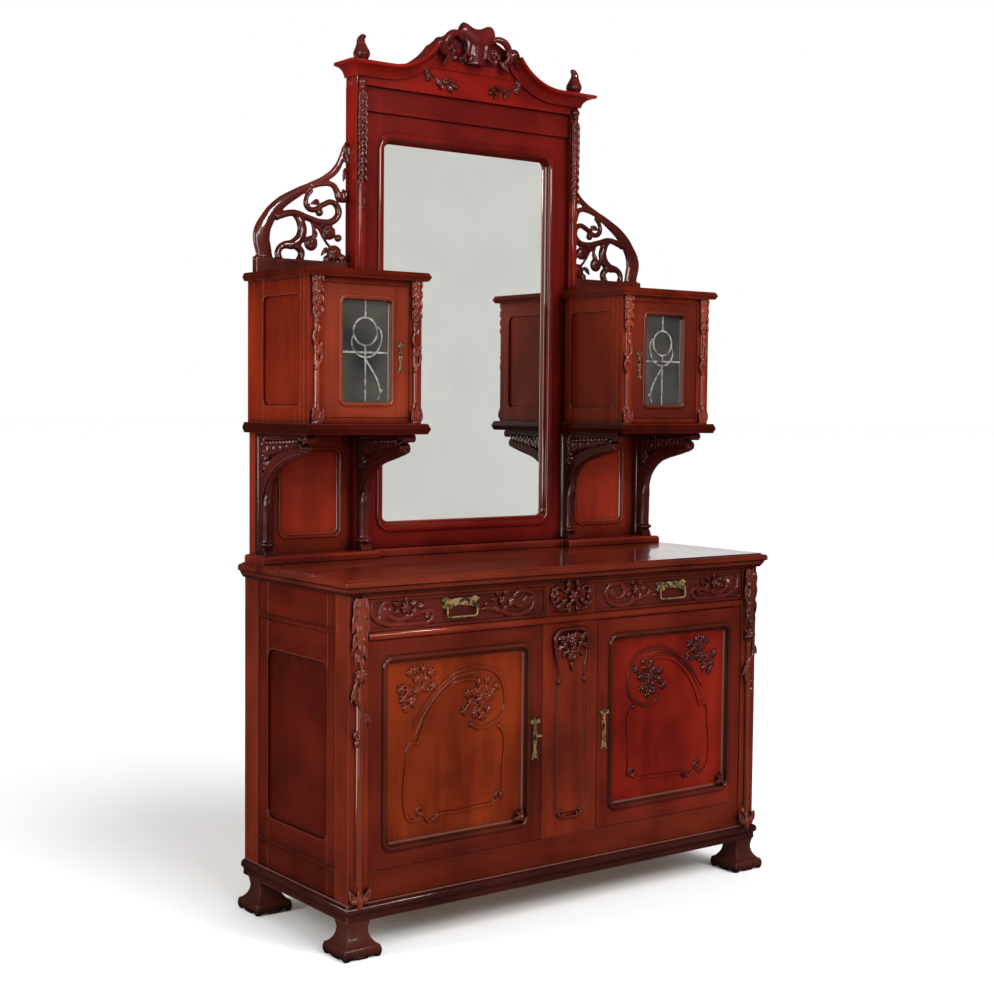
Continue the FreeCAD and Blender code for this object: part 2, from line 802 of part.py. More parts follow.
x_pivot = x_post - door_gap - pivot_in
y_pivot = y_face + pivot_back
door_low = bottom_rail_top + door_gap
door_high = drawer_rail_low - door_gap
y_rail_back = y_face + rail_thick
foot_pin, foot_bed, foot_socket, foot_cut = pivots(x_pivot, y_pivot, bottom_rail_top, door_low, 1)
head_pin, head_bed, head_socket, head_cut = pivots(x_pivot, y_pivot, drawer_rail_low, door_high, -1)
beds = [foot_bed, flip(foot_bed), head_bed, flip(head_bed)]
add("front_rails", box(-x_post, x_post, y_face, y_rail_back, z_top_rail, z_top_under))
drawer_rail = [(y_face, drawer_rail_low),
               (y_face - drawer_bead, drawer_rail_low + drawer_rail_height / 2, y_face,
                                           z_drawer_low), (y_face + drawer_rail_depth, z_drawer_low),
               (y_face + drawer_rail_depth, drawer_rail_low)]
add("front_rails",
    less(prism(outline(drawer_rail, lambda a, b: V(-x_post, a, b)), V(2 * x_post, 0, 0)), *beds))
add("front_rails", less(box(-x_post, x_post, y_face, y_rail_back, foot_height, bottom_rail_top), *beds))
both("hinge_pins", foot_pin, head_pin)

y_bolt = y_face + door_thick - lock_thick / 2
z_bolt = key_height + bolt_rise + bolt_height / 2
strike = box(centre_half - bolt_throw + door_gap - strike_clear, centre_half + overrun,
             y_bolt - bolt_thick / 2 - strike_clear, y_bolt + bolt_thick / 2 + strike_clear,
             z_bolt - bolt_height / 2 - strike_clear, z_bolt + bolt_height / 2 + strike_clear)
stile = box(-centre_half, centre_half, y_face, y_rail_back, bottom_rail_top, drawer_rail_low)
field = raised_field(-field_half, field_half, bottom_rail_top + field_margin, drawer_rail_low - field_margin,
                     y_face, field_edge, field_proud)
add("centre_stile", less(join([stile, field]), strike, flip(strike)))
block = box(-block_half, block_half, y_face, y_rail_back, z_drawer_low, z_top_rail)
block_field = raised_field(-block_half + block_field_margin, block_half - block_field_margin,
                           z_drawer_low + block_field_margin, z_top_rail - block_field_margin,
                           y_face, field_edge, field_proud)
add("centre_stile", join([block, block_field]))
add("centre_stile", box(-stop_half, stop_half, y_rail_back, y_rail_back + stop_thick, bottom_rail_top,
                        drawer_rail_low))


# Inside of the case: floor, back boards, shelf, cleats and the drawer runners

inner_half = side_face - side_frame_thick
all_posts = [front_post, flip(front_post), back_post, flip(back_post)]
floor_board = box(-inner_half, inner_half, y_rail_back, y_back_board, bottom_rail_top - bottom_thick,
                  bottom_rail_top)
add("case_bottom", less(floor_board, *all_posts))
board_width = 2 * x_post / back_board_count
for index in range(back_board_count):
    board_x = -x_post + index * board_width
    add("case_back", box(board_x, board_x + board_width, y_back_board, y_wall, foot_height, z_top_under))
shelf = box(-inner_half, inner_half, y_post_back + shelf_nose_in, y_back_board - shelf_back_gap, shelf_low,
            shelf_low + shelf_thick)
add("cupboard_shelf", less(shelf, *all_posts))
both("shelf_cleats", box(inner_half - cleat_size, inner_half, y_post_back + shelf_nose_in, y_back_post,
                         shelf_low - cleat_size, shelf_low))
add("shelf_cleats",
    box(-x_post, x_post, y_back_board - cleat_size, y_back_board, shelf_low - cleat_size, shelf_low))

drawer_x0 = block_half + drawer_gap
drawer_x1 = x_post - drawer_gap
drawer_z0 = z_drawer_low + drawer_gap
drawer_z1 = z_top_rail - drawer_gap
side_x0 = drawer_x0 + drawer_side_in
side_x1 = drawer_x1 - drawer_side_in
y_runner = y_face + drawer_rail_depth
for runner_x, guide_x in ((side_x0 - guide_width - slide_gap, side_x0 - guide_width - slide_gap),
                          (side_x1 + guide_width + slide_gap - runner_width, side_x1 + slide_gap)):
    both("drawer_runners",
         box(runner_x, runner_x + runner_width, y_runner, y_back_board, drawer_rail_low, z_drawer_low))
    both("drawer_runners", box(guide_x, guide_x + guide_width, y_runner, y_back_board, z_drawer_low,
                               z_drawer_low + guide_height))
    both("drawer_runners", box(runner_x, runner_x + runner_width, y_rail_back, y_back_board,
                               z_top_under - kicker_height, z_top_under))
add("drawer_runners",
    box(-divider_thick / 2, divider_thick / 2, y_rail_back, y_back_board, z_drawer_low, z_top_under))


# Lower doors

door_x0 = centre_half + door_gap
door_x1 = x_post - door_gap
key_x = door_x0 + key_in
frame, panel, opening = framed(door_x0, door_x1, door_low, door_high, (door_stile, door_stile),
                               (door_stile, door_stile), door_thick, door_round, y_face,
                               (door_panel_tongue, door_panel_set, door_panel_thick))
lock = box(door_x0, door_x0 + lock_width, y_face + door_thick - lock_thick, y_face + door_thick,
           key_height - lock_height / 2, key_height + lock_height / 2)
lock_room = box(door_x0 + lock_wall, door_x0 + lock_width - lock_wall,
                y_face + door_thick - lock_thick + lock_wall,
                y_face + door_thick - lock_wall, key_height - lock_height / 2 + lock_wall,
                key_height + lock_height / 2 - lock_wall)
bolt = box(door_x0, door_x0 + bolt_length, y_bolt - bolt_thick / 2, y_bolt + bolt_thick / 2,
           z_bolt - bolt_height / 2, z_bolt + bolt_height / 2)
bolt_slot = box(door_x0 - overrun, door_x0 + bolt_length, y_bolt - bolt_thick / 2 - bolt_slack,
                y_bolt + bolt_thick / 2 + bolt_slack, z_bolt - bolt_height / 2 - bolt_slack,
                z_bolt + bolt_height / 2 + bolt_slack)
y_plate = y_face - plate_thick
key_bore = rod(V(key_x, y_plate - overrun, key_height), V(key_x, y_bolt, key_height),
               key_radius + pin_clearance)
key_slot = join([rod(V(key_x, y_plate - overrun, key_height), V(key_x, lock.BoundBox.YMin, key_height),
                     keyhole_radius),
                 box(key_x - key_bit_thick, key_x + key_bit_thick, y_plate - overrun, lock.BoundBox.YMin,
                     key_height - key_bit_reach - keyhole_radius, key_height)])
frame = [less(piece, foot_cut, head_cut, lock, key_slot) for piece in frame]
pair("lower_door_frame", *frame)
lock = less(lock, lock_room, key_bore)
pair("lower_door_fittings", foot_socket, head_socket)
add("lower_door_fittings_right", lock)
add("lower_door_fittings_left", flip(less(lock, bolt_slot)))
add("door_bolt", flip(bolt))
door_profile = bolection(door_mould_lap, door_mould_in, door_mould_proud, door_panel_set)
pair("lower_door_moulding", *mitred_ring(opening, door_round, y_face, door_profile))

# A thin raised border on the panel: a high arch that curls back, an inner arch, a side and a foot
panel_w = opening[1] - opening[0]
panel_h = opening[3] - opening[2]
y_panel = y_face + door_panel_set


def on_panel(a, b):
    return V(opening[0] + a * panel_w, y_panel + swag_sink, opening[2] + b * panel_h)


swag = []
for course in swag_course_shares:
    sized = [(a * panel_w, b * panel_h, weight * swag_half) for a, b, weight in course]
    strip_face = band(sized, lambda a, b: on_panel(a / panel_w, b / panel_h))
    swag.append(strip_face.extrude(V(0, -swag_rise - swag_sink, 0)))
pair("lower_door_panel", join([panel] + swag))


# Escutcheons: two curls at the head, a narrow waist and a fishtail foot

def escutcheon(x, y, z, width, height):
    steps = [(a * width / 2, b * height) for a, b in escutcheon_side_shares]
    right = [(x + a, z + b) for a, b in steps]
    left = [(x - a, z + b) for a, b in steps[::-1]]
    plate = prism(outline(right + left, in_front(y)), V(0, -plate_thick, 0))
    for side in (-1, 1):
        curl = V(x + side * width * curl_place_share, y, z + height * curl_height_share)
        plate = join([plate, rod(curl, curl - BACK * (plate_thick + curl_rise), width * curl_size_share)])
    return plate


lower_plate = less(escutcheon(key_x, y_face, key_height, escutcheon_width, escutcheon_height), key_slot)
pair("lower_door_escutcheon", lower_plate)

# Key, turned a quarter, with its bow level
bow_y = y_face - key_bow_out
bow = Part.makeTorus(key_bow_radius, key_bow_wire, V(key_x, bow_y, key_height), UP)
shank = rod(V(key_x, bow_y + key_bow_radius, key_height), V(key_x, y_bolt + bolt_thick / 2, key_height),
            key_radius)
bit = box(key_x, key_x + key_bit_reach, y_bolt - key_bit_length / 2, y_bolt + key_bit_length / 2,
          key_height - key_bit_thick / 2, key_height + key_bit_thick / 2)
add("door_key", flip(join([bow, shank, bit])))


# Drawers

drawer_front = box(drawer_x0, drawer_x1, y_face, y_face + drawer_front_thick, drawer_z0, drawer_z1)
hollow = round_box(drawer_x0 + drawer_field_in, drawer_x1 - drawer_field_in, drawer_z0 + drawer_field_in,
                   drawer_z1 - drawer_field_in, drawer_field_in, y_face - overrun, y_face + drawer_field_cut)
y_box = y_face + drawer_front_thick
y_box_back = y_back_board - drawer_back_gap
box_z0 = z_drawer_low + slide_gap
box_z1 = box_z0 + drawer_box_height
pull_x = (drawer_x0 + drawer_x1) / 2
pull_z = drawer_z0 + (drawer_z1 - drawer_z0) * pull_height_share
y_pull = y_face + drawer_field_cut
pair("drawer_front", less(drawer_front, hollow))
wall = [box(side_x0, side_x0 + drawer_side_thick, y_box, y_box_back, box_z0, box_z1),
        box(side_x1 - drawer_side_thick, side_x1, y_box, y_box_back, box_z0, box_z1),
        box(side_x0 + drawer_side_thick, side_x1 - drawer_side_thick, y_box_back - drawer_side_thick,
            y_box_back,
            box_z0 + drawer_bottom_up, box_z1),
        box(side_x0 + drawer_side_thick, side_x1 - drawer_side_thick, y_box, y_box_back - drawer_side_thick,
            box_z0 + drawer_bottom_up, box_z0 + drawer_bottom_up + drawer_bottom_thick)]
pair("drawer_box", *wall)

plate_steps = [(a * pull_width / 2, b * pull_height / 2) for a, b in pull_side_shares]
plate_wire = [(pull_x + a, pull_z + b) for a, b in plate_steps]
plate_wire += [(pull_x - a, pull_z + b) for a, b in plate_steps[::-1]]
pull_plate = prism(outline(plate_wire, in_front(y_pull)), V(0, -pull_thick, 0))
y_bail = y_pull - pull_thick - bail_out
bail_z = pull_z - pull_height * bail_height_share
bail_bore = rod(V(pull_x - pull_width, y_bail, bail_z), V(pull_x + pull_width, y_bail, bail_z),
                bail_pin_radius + pin_clearance)
for side in (-1, 1):
    lug_x = pull_x + side * pull_pitch / 2
    lug = [(-pull_thick, -pull_lug_radius), (bail_out, -pull_lug_radius),
           (bail_out + pull_lug_radius, 0, bail_out, pull_lug_radius), (-pull_thick, pull_lug_radius)]
    lug_side = lug_x - pull_lug_width / 2
    ear = prism(outline(lug, lambda a, b: V(lug_side, y_pull - pull_thick - a, bail_z + b)),
                V(pull_lug_width, 0, 0))
    pull_plate = join([pull_plate, ear])
pair("drawer_plate", less(pull_plate, bail_bore))
arm = pull_pitch / 2 + pull_lug_width / 2 + bail_side_gap + bail_wire
bend = bail_corner * quarter_share
foot_z = bail_z - bail_drop
bail_steps = [V(pull_x - arm, y_bail, bail_z + bail_wire), V(pull_x - arm, y_bail, foot_z + bail_corner),
              V(pull_x - arm + bend, y_bail, foot_z + bend), V(pull_x - arm + bail_corner, y_bail, foot_z),
              V(pull_x + arm - bail_corner, y_bail, foot_z), V(pull_x + arm - bend, y_bail, foot_z + bend),
              V(pull_x + arm, y_bail, foot_z + bail_corner), V(pull_x + arm, y_bail, bail_z + bail_wire)]
bail_path = Part.Wire([Part.LineSegment(bail_steps[0], bail_steps[1]).toShape(),
                       Part.Arc(*bail_steps[1:4]).toShape(),
                       Part.LineSegment(bail_steps[3], bail_steps[4]).toShape(),
                       Part.Arc(*bail_steps[4:7]).toShape(),
                       Part.LineSegment(bail_steps[6], bail_steps[7]).toShape()])
bail_section = Part.Wire([Part.makeCircle(bail_wire, bail_steps[0], UP)])
bail = [bail_path.makePipeShell([bail_section], True, False, 0)]
for side in (-1, 1):
    bail.append(rod(V(pull_x + side * arm, y_bail, bail_z),
                    V(pull_x + side * (arm - bail_pin_length), y_bail, bail_z),
                    bail_pin_radius))
pair("drawer_bail", join(bail))


# Base, wings and panels of the back

plinth_levels = [(top_height, 0), (z_plinth - hutch_plinth_nose, 0), (z_plinth, hutch_plinth_nose)]
plinth = moulded_board(-hutch_plinth_half, hutch_plinth_half, y_wall - hutch_plinth_depth, y_wall,
                       plinth_levels)
recess_half = mirror_post_outer - console_inner_in - console_width
recess = box(-recess_half, recess_half, y_wall - hutch_plinth_depth - overrun,
             y_wall - hutch_plinth_depth + hutch_plinth_break, top_height - overrun, z_plinth + overrun)
add("hutch_plinth", less(plinth, recess))
frame, panel, opening = framed(mirror_post_outer, hutch_half, z_plinth, cabinet_low,
                               (wing_inner_stile, wing_outer_stile),
                               (wing_bottom_rail, wing_top_rail), wing_thick, wing_round,
                               y_wall - wing_thick,
                               (wing_panel_tongue, wing_panel_set, wing_panel_thick))
both("hutch_frame", *frame)
both("hutch_panels", panel)
wing_profile = bolection(wing_mould_lap, wing_mould_in, wing_mould_proud, wing_panel_set)
both("hutch_frame", *mitred_ring(opening, wing_round, y_wall - wing_thick, wing_profile))


# Mirror posts, frame, moulding, glass and backboard

mirror_post = box(x_post_inner, mirror_post_outer, y_mirror_post, y_wall, z_plinth, pediment_low)
post_centre = (x_post_inner + mirror_post_outer) / 2
mirror_strip = rod(V(post_centre, y_mirror_post, cabinet_high), V(post_centre, y_mirror_post, pediment_low),
                   mirror_bead_radius)
both("mirror_posts", join([mirror_post, mirror_strip]))
glass_depth = mirror_frame_thick - mirror_glass_thick
frame, glass, opening = framed(-x_post_inner, x_post_inner, z_plinth, frieze_low,
                               (mirror_frame_side, mirror_frame_side),
                           (mirror_bottom_rail, frieze_low - mirror_high), mirror_frame_thick, mirror_round,
                           y_mirror_frame, (mirror_rebate, glass_depth, mirror_glass_thick))
add("mirror_frame", *frame)
add("mirror_frame",
    box(-x_post_inner, x_post_inner, y_mirror_frame - frieze_set, y_mirror_frame + mirror_frame_thick,
                        frieze_low, pediment_low))
mirror_profile = bolection(mirror_mould_lap, mirror_mould_in, mirror_mould_proud, glass_depth)
add("mirror_moulding", *mitred_ring(opening, mirror_round, y_mirror_frame, mirror_profile))
add("mirror_glass", glass)
y_mirror_back = y_mirror_frame + mirror_frame_thick
add("mirror_back", box(-x_post_inner, x_post_inner, y_mirror_back, y_mirror_back + mirror_back_thick,
                       z_plinth, pediment_low))


# Pediment board and the cornice that follows it

swing = cornice_flat_half - cornice_end_half
climb = cornice_end_top - cornice_top
sweep_radius = (swing ** 2 + climb ** 2) / (2 * climb)
half_turn = math.asin(swing / sweep_radius) / 2
mid_x = cornice_flat_half - sweep_radius * math.sin(half_turn)
mid_z = cornice_top + sweep_radius * (1 - math.cos(half_turn))
board = [(-mirror_post_outer, pediment_low), (mirror_post_outer, pediment_low),
         (mirror_post_outer, cornice_top),
         (cornice_flat_half, cornice_top), (mid_x, mid_z, cornice_end_half, cornice_end_top),
         (0, tympanum_top, -cornice_end_half, cornice_end_top),
         (-mid_x, mid_z, -cornice_flat_half, cornice_top),
         (-mirror_post_outer, cornice_top)]
tympanum = prism(outline(board, in_front(y_mirror_post)), V(0, pediment_thick, 0))
add("pediment", tympanum)
add("pediment", box(-mirror_post_outer, mirror_post_outer, y_mirror_post + pediment_thick, y_wall,
                    cornice_top - cornice_drop, cornice_top))
returns = box(x_post_inner, mirror_post_outer, y_mirror_post + pediment_thick, y_wall, pediment_low,
              cornice_top - cornice_drop)
both("pediment", returns)

# The rosettes and scrolls of the crest, which the cornice dies into
crest_thick = crest_front + pediment_thick
y_crest = y_mirror_post - crest_front
crest_floor = total_height - crest_height
discs = []
for spread, level, radius in zip(crest_spread_shares, crest_level_shares,
                                 (crest_rosette_radius, crest_scroll_radius)):
    middle = V(spread * crest_half, y_crest - crest_dome, crest_floor + level * crest_height)
    discs.append(rod(middle, middle + BACK * (crest_dome + crest_thick), radius))

shoulder = cornice_out * cornice_shoulder_share
cornice_profile = [(0, 0), (shoulder, 0),
                   (cornice_out, -cornice_nose_drop / 2, shoulder, -cornice_nose_drop),
                   (cornice_out * cornice_fillet_share, -cornice_nose_drop),
                   (cornice_out * cornice_cove_share, -cornice_drop * cornice_cove_drop_share,
                    cornice_under, -cornice_drop), (0, -cornice_drop)]
x_far = mirror_post_outer + 2 * cornice_out
path = Part.Wire([Part.LineSegment(V(x_far, y_mirror_post, cornice_top),
                                   V(cornice_flat_half, y_mirror_post, cornice_top)).toShape(),
                  Part.Arc(V(cornice_flat_half, y_mirror_post, cornice_top), V(mid_x, y_mirror_post, mid_z),
                           V(cornice_end_half, y_mirror_post, cornice_end_top)).toShape()])
section = outline(cornice_profile, lambda a, b: V(x_far, y_mirror_post - a, cornice_top + b))
run = path.makePipeShell([section], True, False, 0)
corner = V(mirror_post_outer, y_mirror_post, cornice_top)
run = less(run, mitre_wedge(corner, RIGHT, -BACK, 2 * cornice_out + overrun, 2 * cornice_drop), *discs)
both("cornice", run)
both("cornice",
     straight_moulding(cornice_profile, corner, V(mirror_post_outer, y_wall, cornice_top), RIGHT, (1, 0)))


# Crest: a fan between two rosettes, with a scroll and an ear at each side

def on_crest(a, b):
    return V(a, y_crest, crest_floor + b)


fan_sized = [tuple(share * (crest_height if index % 2 else crest_half) for index, share in enumerate(step))
             for step in fan_shares]
crest = [prism(outline(fan_sized, on_crest), V(0, crest_thick, 0))] + discs + [flip(disc) for disc in discs]
for course in crest_band_shares:
    wing = band(scaled(course, crest_half, crest_height), on_crest).extrude(V(0, crest_thick, 0))
    crest.extend([wing, flip(wing)])
add("crest", less(join(crest), tympanum, run, flip(run)))


# Finials: a small turned bud on each end of the cornice

def finial(x, y, z):
    steps = [(0, 0)]
    steps += [(a * finial_base, b * finial_height) for a, b in finial_side_shares]
    steps.append((0, finial_height))
    face = Part.Face(outline(steps, lambda a, b: V(x + a, y, z + b)))
    return face.revolve(V(x, y, z), UP, 360)


both("finials",
     finial(mirror_post_outer - finial_in, y_wall - mirror_post_depth * finial_depth_share, cornice_top))


# Frets: whiplash stems and berries sawn from one board, standing on the cabinet roof

def on_fret(a, b):
    return V(mirror_post_outer + a * fret_reach, y_wall - fret_thick, z_fret + b * fret_rise)


def fret_strip(course):
    sized = moved(scaled(course, fret_reach, fret_rise), mirror_post_outer, z_fret)
    return band(sized, in_front(y_wall - fret_thick))


flat = fret_strip(fret_course_shares[0]).multiFuse([fret_strip(course) for course in fret_course_shares[1:]])
back_plane = box(mirror_post_outer, 2 * mirror_post_outer + fret_reach, y_wall, y_wall + fret_reach,
                 cabinet_high, z_fret + 2 * fret_rise)
inside_post = box(0, mirror_post_outer, y_mirror_post, y_wall, cabinet_high, z_fret + 2 * fret_rise)
fret = [face.extrude(V(0, fret_thick, 0)) for face in flat.removeSplitter().Faces]
for a, b, radius in fret_berry_shares:
    middle = on_fret(a, b) + BACK * (fret_thick / 2)
    berry = Part.makeSphere(radius * fret_reach, middle, BACK)
    fret.append(berry)
fret.append(box(mirror_post_outer, hutch_half - fret_rail_inset, y_wall - fret_rail_thick, y_wall,
                cabinet_high, z_fret))
pair("fret", less(join(fret), back_plane, inside_post))


# Consoles: pierced brackets standing out from the back under each cabinet

console_height = cabinet_low - z_plinth


def console(middle, behind):
    place = in_side(middle - console_width / 2)
    across = V(console_width, 0, 0)
    floor = z_plinth
    pieces = [box(middle - console_width / 2, middle + console_width / 2, y_wall - wing_thick - console_stem,
                  y_wall - wing_thick, floor, cabinet_low),
              box(middle - console_width / 2, middle + console_width / 2,
                  y_wall - console_reach * console_strip_share, y_wall - wing_thick,
                  cabinet_low - console_top_strip, cabinet_low)]
    for course in console_course_shares:
        sized = moved(scaled(course, console_reach, console_height), 0, floor)
        pieces.append(band(sized, place).extrude(across))
    for a, b, radius in console_disc_shares:
        start = place(a * console_reach, floor + b * console_height)
        pieces.append(rod(start, start + across, radius * console_reach))
    limit = box(middle - console_width, middle + console_width, y_cabinet - console_reach, behind, floor,
                cabinet_low)
    return join(pieces).common(limit)


pair("consoles", console(hutch_half - console_outer_in, y_wall - wing_thick),
     console(mirror_post_outer - console_inner_in, y_mirror_post))


# Hanging cabinets

levels = [(cabinet_low, cabinet_front_lip - cabinet_lip),
          (cabinet_low + cabinet_floor_thick * cabinet_lip_nose_share, 0),
          (z_cabinet_floor, cabinet_front_lip - cabinet_lip)]
roof_levels = [(z_cabinet_roof, cabinet_front_lip - cabinet_lip),
               (z_cabinet_roof + cabinet_roof_thick * cabinet_lip_nose_share, 0),
               (cabinet_high, cabinet_front_lip - cabinet_lip)]
lip_x0 = cabinet_inner - cabinet_lip
lip_x1 = cabinet_outer + cabinet_lip
lip_y = y_cabinet - cabinet_front_lip
post_room = box(0, mirror_post_outer, y_mirror_post, y_wall + overrun, cabinet_low - overrun,
                cabinet_high + overrun)
floor_piece = less(moulded_board(lip_x0, lip_x1, lip_y, y_wall, levels), post_room)
roof_piece = less(moulded_board(lip_x0, lip_x1, lip_y, y_wall, roof_levels), post_room)
y_stile_back = y_cabinet + cabinet_face_thick
rear_outer = cabinet_side_rear_stile
rear_inner = cabinet_side_rear_stile - mirror_post_depth
tongue = (cabinet_side_tongue, cabinet_side_panel_set, cabinet_side_panel_thick)
outer_frame, outer_panel, _ = framed(y_stile_back, y_wall, z_cabinet_floor, z_cabinet_roof,
                                     (cabinet_side_stile, rear_outer),
                                     (cabinet_side_rail, cabinet_side_rail),
                                     cabinet_side_thick, cabinet_side_round, 0, tongue)
inner_frame, inner_panel, _ = framed(y_stile_back, y_mirror_post, z_cabinet_floor, z_cabinet_roof,
                                     (cabinet_side_stile, rear_inner),
                                     (cabinet_side_rail, cabinet_side_rail),
                                     cabinet_side_thick, cabinet_side_round, 0, tongue)
outer_side = [turn_to_side(piece, cabinet_outer) for piece in outer_frame + [outer_panel]]
inner_side = [flip(turn_to_side(piece, -cabinet_inner)) for piece in inner_frame + [inner_panel]]
glazed_x0 = cabinet_inner + cabinet_inner_stile + door_gap
glazed_x1 = cabinet_outer - cabinet_stile - door_gap
glazed_z0 = z_cabinet_floor + cabinet_face_rail + door_gap
glazed_z1 = z_cabinet_roof - cabinet_face_rail - door_gap
y_glazed = y_cabinet + glazed_set
x_glazed_pivot = glazed_x1 - pivot_in
y_glazed_pivot = y_glazed + pivot_back
low_pin, low_bed, low_socket, low_cut = pivots(x_glazed_pivot, y_glazed_pivot, glazed_z0 - door_gap,
                                               glazed_z0, 1)
high_pin, high_bed, high_socket, high_cut = pivots(x_glazed_pivot, y_glazed_pivot, glazed_z1 + door_gap,
                                                   glazed_z1, -1)
both("hinge_pins", low_pin, high_pin)
face = [box(cabinet_outer - cabinet_stile, cabinet_outer, y_cabinet, y_stile_back, z_cabinet_floor,
            z_cabinet_roof),
        box(cabinet_inner, cabinet_inner + cabinet_inner_stile, y_cabinet, y_stile_back, z_cabinet_floor,
            z_cabinet_roof)]
stiles = []
for post in face:
    middle = (post.BoundBox.XMin + post.BoundBox.XMax) / 2
    bead = rod(V(middle, y_cabinet, z_cabinet_floor), V(middle, y_cabinet, z_cabinet_roof),
               cabinet_bead_radius)
    leaf = pointed_leaf(middle, y_cabinet, z_cabinet_roof - cabinet_leaf_height, z_cabinet_roof,
                        cabinet_leaf_half,
                        cabinet_leaf_rise)
    foot_leaf = pointed_leaf(middle, y_cabinet, z_cabinet_floor, z_cabinet_floor + cabinet_foot_leaf_height,
                             cabinet_leaf_half, cabinet_leaf_rise)
    stiles.append(join([post, bead, leaf, foot_leaf]))
rail_x0 = cabinet_inner + cabinet_inner_stile
rail_x1 = cabinet_outer - cabinet_stile
face_rails = [box(rail_x0, rail_x1, y_glazed, y_stile_back, z_cabinet_floor,
                  z_cabinet_floor + cabinet_face_rail),
              box(rail_x0, rail_x1, y_glazed, y_stile_back, z_cabinet_roof - cabinet_face_rail,
                  z_cabinet_roof)]
face_rails = [less(piece, low_bed, high_bed) for piece in face_rails]
back_board = box(mirror_post_outer, cabinet_outer - cabinet_side_thick, y_wall - cabinet_back_thick, y_wall,
                 z_cabinet_floor, z_cabinet_roof)
pair("cabinet_case", floor_piece, roof_piece, *outer_side, *inner_side, *stiles, *face_rails, back_board)


# Glazed doors

frame, glass, opening = framed(glazed_x0, glazed_x1, glazed_z0, glazed_z1, (glazed_stile, glazed_stile),
                               (glazed_rail, glazed_rail), glazed_thick, glazed_round, y_glazed,
                               (glazed_rebate, glazed_glass_set, glazed_glass_thick))
glazed_key_x = glazed_x0 + glazed_key_in
glazed_key_z = glazed_z0 + (glazed_z1 - glazed_z0) * glazed_key_share
glazed_lock = box(glazed_x0, glazed_x0 + glazed_lock_width, y_glazed + glazed_thick - glazed_lock_thick,
                  y_glazed + glazed_thick, glazed_key_z - glazed_lock_height / 2,
                  glazed_key_z + glazed_lock_height / 2)
glazed_hole = rod(V(glazed_key_x, y_glazed - plate_thick - overrun, glazed_key_z),
                  V(glazed_key_x, glazed_lock.BoundBox.YMin, glazed_key_z), keyhole_radius)
frame = [less(piece, low_cut, high_cut, glazed_lock, glazed_hole) for piece in frame]
glazed_profile = bolection(glazed_mould_lap, glazed_mould_in, glazed_mould_proud, glazed_glass_set)
pair("cabinet_door_frame", *frame, *mitred_ring(opening, glazed_round, y_glazed, glazed_profile))
pair("cabinet_door_glass", glass)
small_plate = less(escutcheon(glazed_key_x, y_glazed, glazed_key_z, small_escutcheon_width,
                              small_escutcheon_height),
                   glazed_hole)
pair("cabinet_door_fittings", low_socket, high_socket, glazed_lock, small_plate)

# Lead cames on the face of the glass: a cross, a ring with a crescent round it and a tendril with a drop
x0, x1, z0, z1 = opening
edge = glazed_mould_in
y_glass = y_glazed + glazed_glass_set
ring_x = (x0 + x1) / 2
ring_z = z0 + (z1 - z0) * came_ring_share
bar_z = z0 + (z1 - z0) * came_bar_share
half = came_width / 2
rise = V(0, -came_rise, 0)
ring_middle = V(ring_x, y_glass, ring_z)
ring_hole = rod(ring_middle, ring_middle + rise, came_ring_radius - half)
bars = [box(ring_x - half, ring_x + half, y_glass - came_rise, y_glass, z0 + edge, z1 - edge),
        box(x0 + edge, x1 - edge, y_glass - came_rise, y_glass, bar_z - half, bar_z + half)]
cames = [less(bar, ring_hole) for bar in bars]
cames.append(less(rod(ring_middle, ring_middle + rise, came_ring_radius + half), ring_hole))
light_w = x1 - x0
light_h = z1 - z0
for shares in (crescent_shares, tendril_shares):
    course = moved(scaled(shares, light_w, light_h), x0, z0)
    cames.append(band(course, in_front(y_glass)).extrude(rise))
drop = V(x0 + drop_shares[0] * light_w, y_glass, z0 + drop_shares[1] * light_h)
cames.append(rod(drop, drop + rise, came_width))
pair("cabinet_door_cames", join(cames))


# Writing one file for each node

os.makedirs("parts", exist_ok=True)
for name, solids in nodes.items():
    Part.makeCompound(solids).exportStep(os.path.join("parts", name + ".step"))
print(len(nodes), "nodes,", sum(len(solids) for solids in nodes.values()), "solids")
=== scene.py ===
import bpy
import bmesh
import math
from mathutils import Matrix, Vector


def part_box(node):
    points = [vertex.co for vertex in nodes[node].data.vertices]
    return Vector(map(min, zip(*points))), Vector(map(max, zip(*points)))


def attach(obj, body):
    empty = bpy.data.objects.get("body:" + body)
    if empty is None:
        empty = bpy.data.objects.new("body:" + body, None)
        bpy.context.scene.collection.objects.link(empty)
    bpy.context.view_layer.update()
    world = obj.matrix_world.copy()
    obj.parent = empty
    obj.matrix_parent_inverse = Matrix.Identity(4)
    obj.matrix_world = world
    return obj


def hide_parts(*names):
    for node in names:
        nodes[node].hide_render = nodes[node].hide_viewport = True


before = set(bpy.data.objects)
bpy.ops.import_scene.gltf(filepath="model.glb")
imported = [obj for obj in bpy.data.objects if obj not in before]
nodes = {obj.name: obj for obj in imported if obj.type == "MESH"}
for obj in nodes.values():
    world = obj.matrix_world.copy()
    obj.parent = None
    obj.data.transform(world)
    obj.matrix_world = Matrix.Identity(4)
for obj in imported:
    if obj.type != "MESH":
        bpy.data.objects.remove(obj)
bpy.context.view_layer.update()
print("frame loaded,", len(nodes), "nodes")

